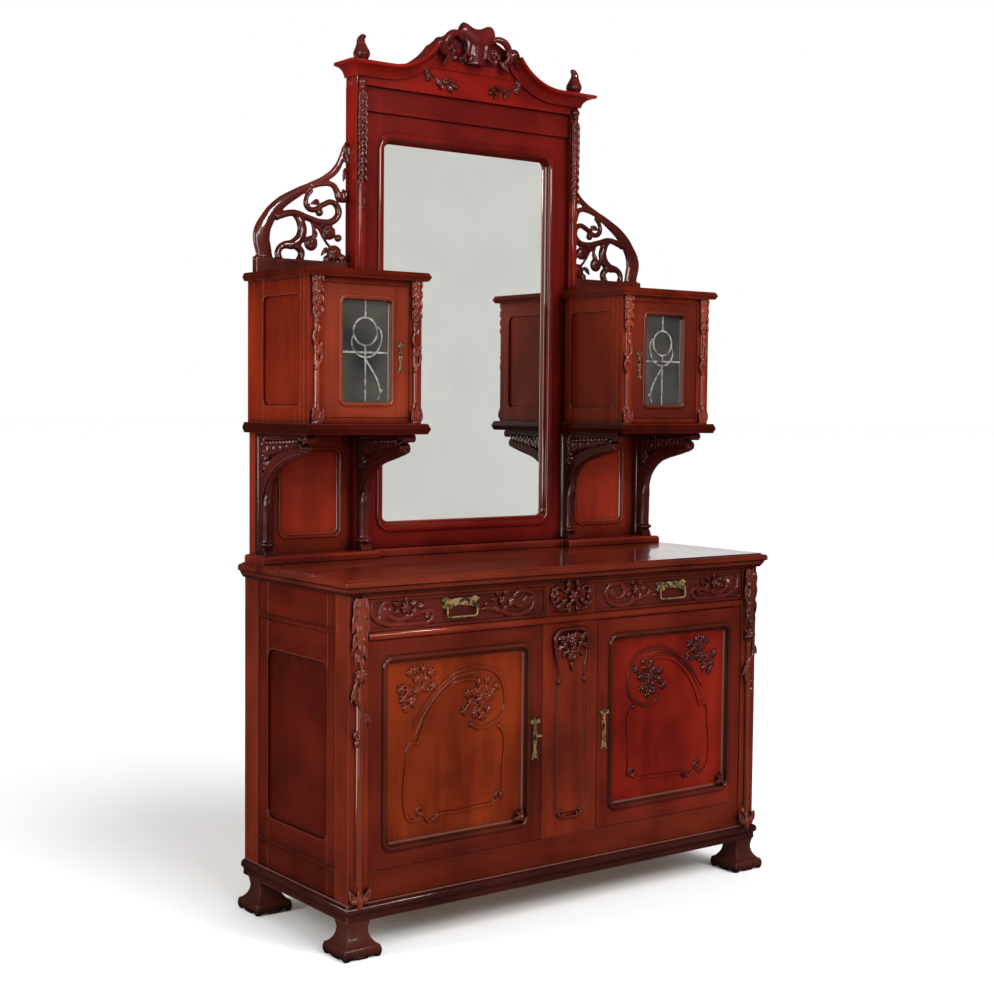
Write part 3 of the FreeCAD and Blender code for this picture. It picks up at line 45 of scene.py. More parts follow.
# The polish all over. The shades of each wood are in its row of the table of woods, further down
woodFinish = {
    "gloss": 0.3, "sheen": 0.06, "lacquer": 0.6, "lacquerRough": 0.07,
    "bump": 0.15, "bumpDepth": 0.0003,
    "patchShade": (196, 190, 226), "patchScale": 4.5,  # old polish, darker and more purple
    # painted shade: wood is painted darker in crevices and hollows, up to the crevice distance away, and partly this is
    # old polish settled there
    "crevice": 0.05, "creviceShade": (92, 76, 80),
    # painted highlight: edges that face the window are painted lighter in this shade
    "edge": 0.003, "edgeHighlightLift": 0.42, "edgeHighlightShade": (214, 150, 128), "window": (-0.72, -0.35, 0.6),
    # bands painted darker: shade lines under mouldings, and low parts darker towards the bottom
    "darkBandShade": (128, 112, 112),
}


def linear(shade):
    # from 0 to 255 as on a screen to the values that shaders take
    parts = [c / 255 for c in shade]
    return tuple(c / 12.92 if c <= 0.04045 else ((c + 0.055) / 1.055) ** 2.4 for c in parts) + (1,)


def newGroup(name, inputs, outputs):
    # every socket is a number, apart from places and colours
    kinds = {"Place": "Vector", "Dark": "Color", "Light": "Color", "Color": "Color"}
    tree = bpy.data.node_groups.new(name, "ShaderNodeTree")
    for way, titles in (("INPUT", inputs), ("OUTPUT", outputs)):
        for title in titles.split():
            tree.interface.new_socket(title, in_out=way, socket_type="NodeSocket" + kinds.get(title, "Float"))
    return tree, tree.nodes.new("NodeGroupInput").outputs, tree.nodes.new("NodeGroupOutput")


def fill(tree, node, inputs):
    # joins each value that is a socket to the input, and sets a plain one
    for title, value in inputs.items():
        if isinstance(value, bpy.types.NodeSocket):
            tree.links.new(value, node.inputs[title])
        else:
            node.inputs[title].default_value = value


def addNode(tree, kind, inputs, **settings):
    node = tree.nodes.new("ShaderNode" + kind)
    for title, value in settings.items():
        setattr(node, title, value)
    fill(tree, node, inputs)
    return node.outputs


def mathOf(tree, operation, *values):
    return addNode(tree, "Math", dict(enumerate(values)), operation=operation)[0]


def plus(tree, first, second):
    return mathOf(tree, "ADD", first, second)


def times(tree, first, second):
    return mathOf(tree, "MULTIPLY", first, second)


def ramped(tree, value, low, high, toLow=0.0, toHigh=1.0):
    return addNode(tree, "MapRange", {
        "Value": value, "From Min": low, "From Max": high, "To Min": toLow, "To Max": toHigh})[0]


def mixed(tree, factor, first, second, blend="MIX"):
    return addNode(tree, "Mix", {"Factor": factor, 6: first, 7: second}, data_type="RGBA", blend_type=blend)[2]


def darker(tree, colour, shade):
    return mixed(tree, 1.0, colour, linear(shade), "MULTIPLY")


def noiseOf(tree, vector, scale, detail, rough=0.5, distortion=0.0):
    return addNode(tree, "TexNoise", {
        "Vector": vector, "Scale": scale, "Detail": detail, "Roughness": rough, "Distortion": distortion})["Fac"]


def stretched(tree, across, depth, along, amount):
    return addNode(tree, "CombineXYZ", {0: across, 1: depth, 2: times(tree, along, amount)})[0]


def separated(tree, place):
    return addNode(tree, "SeparateXYZ", {0: place})


def awayFrom(tree, value, middle):
    return mathOf(tree, "ABSOLUTE", mathOf(tree, "SUBTRACT", value, middle))


def openness(tree, reach, inside=False):
    # 1 in the open and less in a crevice, or less along an edge where it is seen from inside
    return addNode(tree, "AmbientOcclusion", {"Distance": reach}, samples=6, inside=inside, only_local=inside)["AO"]


def bumped(tree, height, strength, depth):
    return addNode(tree, "Bump", {"Height": height, "Strength": strength, "Distance": depth})[0]


# Grain of polished wood: ribbons, fibre lines and short dark pores, along Z or, on a rail, along X
tree, given, made = newGroup("woodGrain", "Place Rail Dark Light Seed Patchy", "Color Rough Height")
x, y, z = separated(tree, given["Place"])
upright = mathOf(tree, "SUBTRACT", 1.0, given["Rail"])
along = plus(tree, times(tree, x, given["Rail"]), times(tree, z, upright))
across = plus(tree, times(tree, z, given["Rail"]), times(tree, x, upright))
across = plus(tree, across, given["Seed"])
ribbon = noiseOf(tree, stretched(tree, across, y, along, 0.14), 13.0, 3.0, 0.55, 0.9)
fibre = noiseOf(tree, stretched(tree, across, y, along, 0.04), 150.0, 4.0, 0.6, 0.4)
pore = ramped(tree, noiseOf(tree, stretched(tree, across, y, along, 0.05), 900.0, 2.0), 0.6, 0.72)
patina = noiseOf(tree, given["Place"], 3.2, 3.0)
tone = plus(tree, times(tree, ribbon, 0.4), plus(tree, times(tree, fibre, 0.12), times(tree, patina, 0.7)))
tone = mathOf(tree, "SUBTRACT", ramped(tree, tone, 0.4, 0.8), times(tree, pore, 0.12))
colour = mixed(tree, tone, given["Dark"], given["Light"])
patches = ramped(tree, noiseOf(tree, given["Place"], woodFinish["patchScale"], 2.0), 0.48, 0.68, 0.0, 0.6)
patches = times(tree, patches, given["Patchy"])
fill(tree, made, {
    "Color": mixed(tree, patches, colour, darker(tree, colour, woodFinish["patchShade"])),
    "Rough": plus(tree, ramped(tree, patina, 0.3, 0.7, -0.05, 0.08), times(tree, pore, 0.15)),
    "Height": mathOf(tree, "SUBTRACT", times(tree, fibre, 0.3), pore)})

# Which pieces of a frame are rails: between the stiles of a joined frame, or past the mitre of a moulding
tree, given, made = newGroup("railMask", "Place Middle Half MiddleUp HalfUp Mitred", "Mask")
x, y, z = separated(tree, given["Place"])
outX = mathOf(tree, "SUBTRACT", awayFrom(tree, mathOf(tree, "ABSOLUTE", x), given["Middle"]), given["Half"])
outZ = mathOf(tree, "SUBTRACT", awayFrom(tree, z, given["MiddleUp"]), given["HalfUp"])
square = times(tree, mathOf(tree, "LESS_THAN", outX, 0.0), mathOf(tree, "SUBTRACT", 1.0, given["Mitred"]))
mitre = times(tree, mathOf(tree, "GREATER_THAN", outZ, outX), given["Mitred"])
fill(tree, made, {"Mask": plus(tree, square, mitre)})


def placeOf(tree, quarterTurn=False):
    place = tree.nodes.new("ShaderNodeTexCoord").outputs["Object"]
    if quarterTurn:
        place = addNode(tree, "Mapping", {"Vector": place, "Rotation": (0, 0, math.pi / 2)})[0]
    return place


def groupNode(tree, group, **values):
    return addNode(tree, "Group", values, node_tree=bpy.data.node_groups[group])


def newMaterial(name):
    material = bpy.data.materials.new(name)
    material.use_nodes = True
    return material, material.node_tree, material.node_tree.nodes["Principled BSDF"]


def woodMaterial(name, shades, seed, rail=0.0, frameOf=None, side=False, reach=woodFinish["crevice"], dull=0.0,
                 sheen=woodFinish["sheen"], bands=(), patchy=1.0):
    # rail 1 runs the grain along X, frameOf is (middle, half, middleUp, halfUp, mitred) of the opening in a frame,
    # side is for boards that look sideways, reach is how far the painted crevice shade spreads, bands are heights
    # that are painted darker, each with how much: shade lines under mouldings, and low parts darker towards the bottom
    material, tree, shader = newMaterial(name)
    place = placeOf(tree, side)
    if frameOf:
        rail = groupNode(tree, "railMask", Place=place, **dict(zip(
            ("Middle", "Half", "MiddleUp", "HalfUp", "Mitred"), frameOf)))["Mask"]
    dark, light = (linear(s) for s in shades)
    grain = groupNode(tree, "woodGrain", Place=place, Rail=rail, Dark=dark, Light=light, Seed=seed, Patchy=patchy)
    # painted shade: darker in crevices and hollows, where shade falls, and partly old polish settled there
    outOfHollows = ramped(tree, openness(tree, reach), 0.3, 0.95)
    colour = mixed(tree, outOfHollows, darker(tree, grain["Color"], woodFinish["creviceShade"]), grain["Color"])
    # painted highlight: edges that look to the window, up and to the left, are painted lighter, partly for rubbed
    # polish and partly for the window's shine on them
    normal = tree.nodes.new("ShaderNodeNewGeometry").outputs["Normal"]
    towards = addNode(tree, "VectorMath", {0: normal, 1: woodFinish["window"]}, operation="DOT_PRODUCT")["Value"]
    edge = ramped(tree, openness(tree, woodFinish["edge"], True), 0.5, 0.85, woodFinish["edgeHighlightLift"], 0.0)
    wearAndHighlight = times(tree, ramped(tree, towards, 0.38, 0.8), edge)
    colour = mixed(tree, wearAndHighlight, colour, mixed(tree, 0.5, colour, linear(woodFinish["edgeHighlightShade"])))
    # painted shade: each band is darker, for shade lines under mouldings and towards the bottom of low parts
    for low, high, amount in bands:
        half = (high - low) / 2
        away = awayFrom(tree, separated(tree, place)[2], (low + high) / 2)
        colour = mixed(tree, ramped(tree, away, half * 0.7, half * 1.2, amount, 0.0), colour,
                       darker(tree, colour, woodFinish["darkBandShade"]))
    fill(tree, shader, {
        "Base Color": colour, "Roughness": plus(tree, grain["Rough"], woodFinish["gloss"] + dull),
        "Normal": bumped(tree, grain["Height"], woodFinish["bump"], woodFinish["bumpDepth"]),
        "Specular IOR Level": sheen, "Coat Weight": woodFinish["lacquer"] * (0.4 if dull else 1),
        "Coat Roughness": woodFinish["lacquerRough"] + dull})
    return material


def newObject(name, data):
    made = bpy.data.objects.new(name, data)
    bpy.context.scene.collection.objects.link(made)
    return made


def opening(name):
    # middle and half of the space that a panel or glass fills, for the grain of the frame round it
    low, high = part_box(name)
    return ((abs(low.x) + abs(high.x)) / 2, abs(high.x - low.x) / 2, (low.z + high.z) / 2, (high.z - low.z) / 2)


def named(names):
    # the nodes of these names, where one that ends in _ stands for the left and the right one
    return [nodes[name + side] for name in names.split()
            for side in (("left", "right") if name.endswith("_") else ("",))]


def dress(material, names):
    for node in named(names):
        node.data.materials.clear()
        node.data.materials.append(material)


def softened(width, names):
    for node in named(names):
        weld = node.modifiers.new("mergedCorners", "WELD")
        weld.merge_threshold = 0.00001
        edge = node.modifiers.new("wornEdges", "BEVEL")
        edge.width = width
        edge.segments = 2
        edge.limit_method = "ANGLE"
        edge.angle_limit = math.radians(38)
        edge.use_clamp_overlap = True
        edge.harden_normals = True


# Metal and glass
metalFinish = {"crevice": 0.003, "creviceShade": (110, 96, 80), "bump": 0.1, "bumpDepth": 0.0002}
metalLook = {
    "brass": {"dark": (66, 50, 28), "light": (164, 136, 88), "rough": 0.3, "metallic": 0.4},
    "lead": {"dark": (84, 82, 76), "light": (186, 182, 174), "rough": 0.2, "metallic": 0.4},
    "steel": {"dark": (60, 58, 56), "light": (120, 118, 114), "rough": 0.42, "metallic": 0.7},
}
openwork = {"shade": (46, 24, 14), "scale": 190.0}

tree, given, made = newGroup("wornMetal", "Place Dark Light", "Color Rough Height")
tarnish = noiseOf(tree, given["Place"], 55.0, 5.0, 0.6)
fill(tree, made, {
    "Color": mixed(tree, ramped(tree, tarnish, 0.36, 0.62), given["Dark"], given["Light"]),
    "Rough": ramped(tree, tarnish, 0.3, 0.7, 0.12, -0.06), "Height": noiseOf(tree, given["Place"], 600.0, 2.0)})


def metalMaterial(name, look, pierced=False):
    material, tree, shader = newMaterial(name)
    wearAndHighlight = groupNode(tree, "wornMetal", Place=placeOf(tree), Dark=linear(look["dark"]), Light=linear(look["light"]))
    colour = wearAndHighlight["Color"]
    if pierced:
        # the finest openwork is a pattern of dark spots
        spots = ramped(tree, noiseOf(tree, placeOf(tree), openwork["scale"], 1.0), 0.52, 0.6)
        colour = mixed(tree, spots, colour, linear(openwork["shade"]))
    outOfHollows = ramped(tree, openness(tree, metalFinish["crevice"]), 0.3, 0.9)
    fill(tree, shader, {
        "Base Color": mixed(tree, outOfHollows, darker(tree, colour, metalFinish["creviceShade"]), colour),
        "Roughness": plus(tree, wearAndHighlight["Rough"], look["rough"]), "Metallic": look["metallic"],
        "Normal": bumped(tree, wearAndHighlight["Height"], metalFinish["bump"], metalFinish["bumpDepth"])})
    return material


def glassMaterial(name, look, glintAt=None):
    # old glass: slightly uneven. The dark grey of the cabinet panes is painted shade, for the dark inside that is seen
    # through them
    material, tree, shader = newMaterial(name)
    cloud = noiseOf(tree, placeOf(tree), 6.0, 3.0)
    colour = mixed(tree, ramped(tree, cloud, 0.35, 0.65), linear(look["dark"]), linear(look["light"]))
    if "inPolish" in look:
        # painted reflection: where the polish reflects the mirror, the mirror is coloured dim brown, as though it
        # showed a dark room, not the bright surround
        rays = tree.nodes.new("ShaderNodeLightPath")
        colour = mixed(tree, rays.outputs["Is Glossy Ray"], colour, linear(look["inPolish"]))
    if glintAt is not None:
        # painted highlight: a light strip is painted along the ground edge of the pane, where it would catch the light
        away = awayFrom(tree, separated(tree, placeOf(tree))[0], glintAt)
        colour = mixed(tree, ramped(tree, away, *look["glintReach"]), linear(look["glintShade"]), colour)
    ripple = noiseOf(tree, placeOf(tree), look["ripple"], 2.0)
    fill(tree, shader, {
        "Base Color": colour, "Roughness": look["rough"], "Metallic": look["metallic"],
        "Transmission Weight": look["clear"], "Normal": bumped(tree, ripple, *look["wave"])})
    return material


glassLook = {
    # the mirror's inPolish shade is a painted reflection, the colour that it shows in the polish
    "mirror": {"dark": (238, 240, 234), "light": (246, 247, 243), "rough": 0.0, "ripple": 3.0, "wave": (0.004, 0.0005),
               "metallic": 1.0, "clear": 0.0, "inPolish": (146, 128, 112)},
    # cabinet panes: their dark grey is painted shade for the dark inside, and the glint shade is a painted highlight
    "cabinet": {"dark": (48, 49, 49), "light": (84, 80, 74), "rough": 0.06, "ripple": 9.0, "wave": (0.1, 0.0005),
                "metallic": 0.0, "clear": 0.35, "glintShade": (206, 200, 190), "glintReach": (0.003, 0.005)},
}

for name, look, pierced, names in (
        ("brass", "brass", False, "door_key drawer_bail_"),
        ("piercedBrass", "brass", True, "drawer_plate_ lower_door_escutcheon_ cabinet_door_fittings_"),
        ("leadCame", "lead", False, "cabinet_door_cames_"),
        ("lockSteel", "steel", False, "hinge_pins door_bolt lower_door_fittings_")):
    dress(metalMaterial(name, metalLook[look], pierced), names)
dress(glassMaterial("silveredGlass", glassLook["mirror"]), "mirror_glass")
# each pane has its painted highlight strip at the given x
dress(glassMaterial("paneGlass", glassLook["cabinet"], -0.445), "cabinet_door_glass_left")
dress(glassMaterial("farPaneGlass", glassLook["cabinet"], 0.595), "cabinet_door_glass_right")

# Woods: dark and light shade of the grain as seen in daylight, its seed, what is special, and the nodes made of it
doorHole = opening("lower_door_panel_left")
glassHole = opening("cabinet_door_glass_left")
mirrorHole = (0.0, 0.3, 1.564, 0.544)
woods = {
    "secondaryWood": ((144, 99, 56), (174, 127, 76), 0.7, {"dull": 0.3, "patchy": 0.15},
                      "case_back mirror_back shelf_cleats"),
    "secondaryWoodAcross": ((144, 99, 56), (174, 127, 76), 0.2, {"rail": 1.0, "dull": 0.3, "patchy": 0.15},
                            "case_bottom cupboard_shelf drawer_runners drawer_box_"),
    "postMahogany": ((58, 14, 6), (112, 36, 15), 0.1, {}, "corner_posts centre_stile"),
    "railMahogany": ((58, 14, 6), (112, 36, 15), 0.3, {"rail": 1.0, "bands": ((0.0, 0.27, 0.35),)}, "front_rails"),
    "drawerMahogany": ((44, 13, 9), (88, 30, 19), 0.3, {"rail": 1.0}, "drawer_front_"),
    "plinthMahogany": ((26, 9, 7), (60, 22, 16), 0.3, {"rail": 1.0}, "plinth_moulding"),
    "hutchBaseMahogany": ((84, 20, 12), (140, 48, 30), 0.25, {"rail": 1.0}, "hutch_plinth"),
    # its bands are painted shadow lines under the nose of the worktop
    "topMahogany": ((58, 14, 6), (112, 36, 15), 0.5, {
        "rail": 1.0, "sheen": 0.15, "patchy": 0.4,
        "bands": ((0.901, 0.908, 1.0), (0.9185, 0.9225, 1.0))}, "worktop"),
    "footMahogany": ((38, 15, 11), (76, 35, 26), 0.6, {"dull": 0.12}, "feet"),
    "doorFrameMahogany": ((48, 10, 5), (94, 28, 13), 0.8, {"frameOf": (*doorHole, 0.0)}, "lower_door_frame_left"),
    "farDoorFrameMahogany": ((56, 11, 5), (106, 30, 15), 0.85, {"frameOf": (*doorHole, 0.0)}, "lower_door_frame_right"),
    "doorMouldingMahogany": ((36, 10, 6), (82, 30, 17), 0.9, {"frameOf": (*doorHole, 1.0)}, "lower_door_moulding_"),
    "doorPanelMahogany": ((60, 12, 3), (122, 42, 10), 1.4, {}, "lower_door_panel_left"),
    "farDoorPanelMahogany": ((66, 6, 3), (118, 24, 9), 1.9, {}, "lower_door_panel_right"),
    "sideFrameMahogany": ((56, 9, 3), (104, 28, 8), 0.2, {
        "side": True, "frameOf": (0.0, 0.155, 0.5, 0.23, 0.0), "bands": ((0.0, 0.3, 0.35),)}, "side_frames"),
    "sidePanelMahogany": ((40, 5, 2), (90, 21, 5), 1.1, {"side": True}, "side_panels"),
    "upperPostMahogany": ((84, 8, 5), (136, 24, 13), 0.4, {}, "mirror_posts finials"),
    "upperRailMahogany": ((84, 8, 5), (136, 24, 13), 0.25, {"rail": 1.0}, "pediment cornice crest"),
    "mirrorFrameMahogany": ((66, 7, 5), (110, 20, 12), 0.75, {"frameOf": (*mirrorHole, 0.0)}, "mirror_frame"),
    "mirrorMouldingMahogany": ((66, 7, 5), (110, 20, 12), 0.15, {"frameOf": (*mirrorHole, 1.0)}, "mirror_moulding"),
    "wingFrameMahogany": ((84, 18, 9), (138, 44, 20), 0.35, {"frameOf": (0.518, 0.1, 1.12, 0.12, 0.0)}, "hutch_frame"),
    # painted light: the wing panels get a far lighter shade than the woods round them, for light that reaches them in
    # the niche under the cabinets
    "wingPanelMahogany": ((118, 26, 13), (176, 56, 28), 1.7, {}, "hutch_panels"),
    # its bands are painted shade on the slabs at the foot and the top of each cabinet
    "cabinetMahogany": ((72, 13, 3), (130, 38, 10), 0.65, {
        "patchy": 0.5, "bands": ((1.286, 1.317, 1.0), (1.69, 1.715, 0.7))}, "cabinet_case_"),
    "glazedDoorMahogany": ((74, 19, 9), (128, 48, 26), 0.55, {"frameOf": (*glassHole, 0.0)}, "cabinet_door_frame_left"),
    "farGlazedDoorMahogany": ((56, 12, 6), (100, 32, 17), 0.5, {"frameOf": (*glassHole, 0.0)},
                              "cabinet_door_frame_right"),
    "carvedMahogany": ((46, 11, 8), (96, 30, 22), 0.45, {"reach": 0.016, "sheen": 0.12}, "fret_"),
    "paleCarvedMahogany": ((80, 22, 13), (134, 50, 34), 0.95, {"reach": 0.012, "sheen": 0.12}, ""),
    "postCarvedMahogany": ((54, 17, 10), (114, 46, 30), 1.05, {"reach": 0.014, "sheen": 0.12}, ""),
    "bracketMahogany": ((38, 9, 7), (84, 25, 20), 1.15, {"reach": 0.016, "sheen": 0.12}, "consoles_"),
    "crestMahogany": ((46, 8, 7), (94, 22, 20), 1.55, {"reach": 0.02, "sheen": 0.12}, ""),
    "swagMahogany": ((60, 14, 5), (110, 38, 16), 1.25, {"reach": 0.01, "sheen": 0.1}, ""),
    "darkSwagMahogany": ((34, 9, 9), (78, 24, 24), 1.35, {"reach": 0.01, "sheen": 0.1}, ""),
}
for name, (dark, light, seed, special, names) in woods.items():
    dress(woodMaterial(name, (dark, light), seed, **special), names)

# Rounding of the edges in metres
softened(0.0018, "corner_posts centre_stile front_rails plinth_moulding feet side_frames mirror_posts pediment "
                 "hutch_plinth mirror_frame drawer_front_ lower_door_frame_")
softened(0.0009, "worktop")
softened(0.0012, "hutch_frame cabinet_case_ cabinet_door_frame_")
print("materials on every node")


# Carving: rounded stems, buds, leaves and flowers in millimetres on a flat plane, u across, v up, w out of the wood,
# joined into one skin and then put in place

def addStem(work, course, flat=0.9, lift=0.0):
    # course is a list of (u, v, radius), with a fourth number where the stem rises off the plane
    curve = bpy.data.curves.new("stemCourse", "CURVE")
    curve.dimensions = "3D"
    curve.bevel_depth = 1
    curve.bevel_resolution = 4
    curve.resolution_u = 10
    curve.use_fill_caps = True
    spline = curve.splines.new("BEZIER")
    spline.bezier_points.add(len(course) - 1)
    for point, (u, v, radius, *rise) in zip(spline.bezier_points, course):
        point.co = (u, v, (lift + (rise[0] if rise else 0)) / flat)
        point.radius = radius
        point.handle_left_type = point.handle_right_type = "AUTO"
    holder = bpy.data.objects.new("stemCourse", curve)
    mesh = bpy.data.meshes.new_from_object(holder)
    mesh.transform(Matrix.Diagonal((1, 1, flat, 1)))
    work.from_mesh(mesh)
    bpy.data.objects.remove(holder)
    bpy.data.curves.remove(curve)
    bpy.data.meshes.remove(mesh)


def addShape(work, shape):
    # a small shape is made on its own and then added, which is much quicker than making it in a large mesh
    mesh = bpy.data.meshes.new("carvedShape")
    shape.to_mesh(mesh)
    shape.free()
    work.from_mesh(mesh)
    bpy.data.meshes.remove(mesh)


def addBud(work, u, v, length, width, turn=0.0, lift=0.0, flat=0.7):
    place = (Matrix.Translation((u, v, lift)) @ Matrix.Rotation(math.radians(turn), 4, "Z")
             @ Matrix.Diagonal((length / 2, width / 2, width / 2 * flat, 1)))
    shape = bmesh.new()
    bmesh.ops.create_uvsphere(shape, u_segments=12, v_segments=8, radius=1, matrix=place)
    addShape(work, shape)


def addLeaf(work, u, v, length, width, turn=0.0, lift=0.0, thick=3.0, curl=0.0, sway=0.0):
    # a pointed leaf from its stalk at u, v, hollowed along its middle, with its tip raised by curl and bent by sway
    shape = bmesh.new()
    made = bmesh.ops.create_uvsphere(shape, u_segments=14, v_segments=10, radius=1)
    for vert in made["verts"]:
        across, out, way = vert.co
        reach = (way + 1) / 2
        full = math.sin(math.pi * min(reach * 1.15, 1) ** 0.75) if reach < 0.87 else 0
        breadth = width / 2 * max(full, 0.16 * (1 - reach) + 0.03) / max(math.sqrt(max(1 - way * way, 0)), 0.2)
        hollow = thick * 0.9 * (1 - abs(across)) * (out > 0)
        vert.co = (reach * length, across * breadth + sway * reach ** 2,
                   out * thick + abs(across) * thick * 0.8 - hollow * 0.5 + curl * reach ** 2)
    place = Matrix.Translation((u, v, lift)) @ Matrix.Rotation(math.radians(turn), 4, "Z")
    bmesh.ops.transform(shape, matrix=place, verts=made["verts"])
    addShape(work, shape)


def addFlower(work, u, v, radius, petals=6, lift=0.0, turn=0.0, flat=0.8):
    for number in range(petals):
        angle = turn + number * 360 / petals
        reach = radius * 0.58
        addBud(work, u + reach * math.cos(math.radians(angle)), v + reach * math.sin(math.radians(angle)),
               radius * 0.95, radius * 0.62, angle, lift + radius * 0.1, flat)
    addBud(work, u, v, radius * 0.6, radius * 0.6, 0, lift + radius * 0.25, 0.9)


def addScroll(work, u, v, radius, start, sweep, thick, tail=0.35, flat=0.7, lift=0.0, steps=9):
    # a stem that winds in towards u, v from the angle start, over sweep degrees, ending in a small eye
    course = []
    for number in range(steps):
        share = number / (steps - 1)
        angle = math.radians(start + sweep * share)
        reach = radius * (1 - (1 - tail) * share)
        course.append((u + reach * math.cos(angle), v + reach * math.sin(angle), thick * (1 - 0.35 * share)))
    addStem(work, course, flat, lift)
    addBud(work, *course[-1][:2], thick * 2.2, thick * 2.2, 0, lift + thick * 0.3, 0.9)


def frontPlace(y):
    # from the carving plane to a face that looks to the front
    return Matrix(((0.001, 0, 0, 0), (0, 0, -0.001, y), (0, 0.001, 0, 0), (0, 0, 0, 1)))


def thinEnds(course, radius, end):
    return [(*point, end if number in (0, len(course) - 1) else radius) for number, point in enumerate(course)]


def sided(side, course):
    # a course that is drawn on the right, for the side 1 or -1
    return [(side * u, *rest) for u, *rest in course]


def carve(name, draw, place, body="carcase", look="carvedMahogany", grain=0.0014, smooth=3, mirrored=False,
          replaced=()):
    work = bmesh.new()
    draw(work)
    if mirrored:
        place = Matrix.Diagonal((-1, 1, 1, 1)) @ place
    bmesh.ops.transform(work, matrix=place, verts=work.verts)
    bmesh.ops.recalc_face_normals(work, faces=work.faces)
    mesh = bpy.data.meshes.new(name)
    work.to_mesh(mesh)
    work.free()
    piece = newObject(name, mesh)
    skin = piece.modifiers.new("oneSkin", "REMESH")
    skin.mode = "VOXEL"
    skin.voxel_size = grain
    skin.use_smooth_shade = True
    rounding = piece.modifiers.new("rubbedSmooth", "SMOOTH")
    rounding.factor = 0.5
    rounding.iterations = smooth
    mesh.materials.append(bpy.data.materials[look])
    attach(piece, body)
    if replaced:
        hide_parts(*replaced)


def carveBoth(name, draw, face, body="carcase", **options):
    # the left piece is drawn for negative u, the right one is its mirror
    for side in ("left", "right"):
        carve(name + side.capitalize(), draw, frontPlace(face), body + side if body.endswith("_") else body,
              mirrored=side == "right", **options)


# The swag on each lower door, traced as courses on the panel
swagLook = {
    "face": -0.2412, "stem": 3.8, "end": 0.55, "flat": 0.75,
    "left": {"knob": (-162, 276, 135), "wood": "swagMahogany"},
    "right": {"knob": (-578, 276, 45), "wood": "darkSwagMahogany"},
}
swagArch = [(-503, 562), (-477, 595), (-448, 628), (-413, 657), (-374, 678), (-329, 689), (-284, 687), (-248, 672),
            (-224, 642), (-215, 608), (-217, 575), (-232, 550), (-260, 535), (-292, 529), (-323, 542)]
swagInner = [(-492, 510), (-477, 545), (-460, 579), (-434, 612), (-404, 638), (-369, 656), (-329, 661), (-293, 653)]
swagBorder = [(-492, 510), (-508, 516), (-521, 506), (-525, 457), (-533, 394), (-529, 350), (-518, 320), (-501, 312),
              (-484, 318), (-480, 332)]
swagFoot = [(-453, 304), (-432, 316), (-366, 320), (-298, 324), (-250, 327), (-228, 342), (-221, 381), (-217, 456),
            (-218, 500), (-234, 526)]
# flowers of the two sprays, each with the middle that its leaves grow from
swagSprays = [((-492, 646), [(-468, 674), (-444, 654), (-449, 689), (-515, 693), (-494, 676), (-542, 655), (-519, 647),
                             (-528, 606), (-506, 618), (-478, 652), (-500, 700), (-536, 628), (-474, 700)]),
              ((-296, 606), [(-272, 652), (-244, 634), (-306, 626), (-328, 600), (-289, 595), (-346, 580), (-268, 576),
                             (-314, 570), (-262, 612), (-300, 650), (-334, 624), (-290, 560)])]


def drawSpray(work, middle, places):
    # low flowers in a close bunch, with small leaves between them that point outwards
    for number, (u, v) in enumerate(places):
        away = math.degrees(math.atan2(v - middle[1], u - middle[0]))
        addFlower(work, u, v, 10.5 + number % 3 * 1.5, 5, 1, number * 25, 0.7)
        for share, swing in ((0.4, -30), (0.8, 26)):
            addLeaf(work, middle[0] + (u - middle[0]) * share, middle[1] + (v - middle[1]) * share, 26, 10,
                    away + swing, 0, 3.4, 1, 3)
        addStem(work, [(*middle, 2), ((u + middle[0]) / 2 + 3, (v + middle[1]) / 2, 1.6), (u, v, 1.4)])
    addFlower(work, middle[0], middle[1], 14, 6, 1.5, 15, 0.7)


def drawSwag(work, knob):
    flat = swagLook["flat"]
    for course, thick in ((swagArch, 1.2), (swagInner, 1.05), (swagBorder, 0.8), (swagFoot, 0.8)):
        radius = swagLook["stem"] * thick
        addStem(work, thinEnds(course, radius, radius * swagLook["end"]), flat)
    # a third strand between the two of the arch
    addStem(work, [(-498, 534, 1.8), (-468, 588, 2.6), (-424, 636, 3), (-372, 668, 3), (-326, 675, 2.4),
                   (-290, 670, 1.6)], flat)
    # scrolls and hooked leaves at the corners of the border
    addScroll(work, -486, 336, 14, -60, 300, 5, flat=0.9)
    addLeaf(work, -446, 304, 40, 15, 30, 1, 4, 3, 5)
    addLeaf(work, -452, 306, 26, 11, 150, 1, 3, 3, -4)
    addScroll(work, -232, 346, 13, -90, -300, 5, flat=0.9)
    addLeaf(work, -226, 332, 30, 12, 60, 1, 3, 3, 4)
    addBud(work, -233, 528, 15, 12, 60, 1, 0.9)
    addBud(work, -325, 543, 15, 12, 20, 1, 0.9)
    for middle, places in swagSprays:
        drawSpray(work, middle, places)
    # a leafy knob at the corner of the moulding that is low and to the right as one looks at the door
    u, v, turn = knob
    for spread in (-38, 0, 38):
        addLeaf(work, u, v, 30, 12, turn + spread, 9, 5, 2, spread * 0.1)
    addBud(work, u, v, 18, 18, 0, 9, 0.8)


for side in ("left", "right"):
    look = swagLook[side]
    carve("doorSwag" + side.capitalize(), lambda work: drawSwag(work, look["knob"]), frontPlace(swagLook["face"]),
          "lower_door_" + side, look["wood"], smooth=2, mirrored=side == "right")
print("door swags carved")


# Scrolls on the drawer fronts
drawerLook = {"face": -0.2468, "stem": 7, "tip": 4}
drawerScroll = [(-631, 881), (-634, 862), (-628, 842), (-609, 829), (-580, 821), (-545, 818), (-500, 818), (-462, 821),
                (-450, 834), (-455, 847), (-470, 848), (-506, 841), (-544, 832), (-572, 837), (-590, 850), (-597, 868)]
drawerInner = [(-302, 840), (-279, 841), (-238, 832), (-196, 819), (-155, 823), (-128, 840), (-128, 866), (-150, 880),
               (-178, 878), (-194, 862), (-184, 844), (-160, 840)]


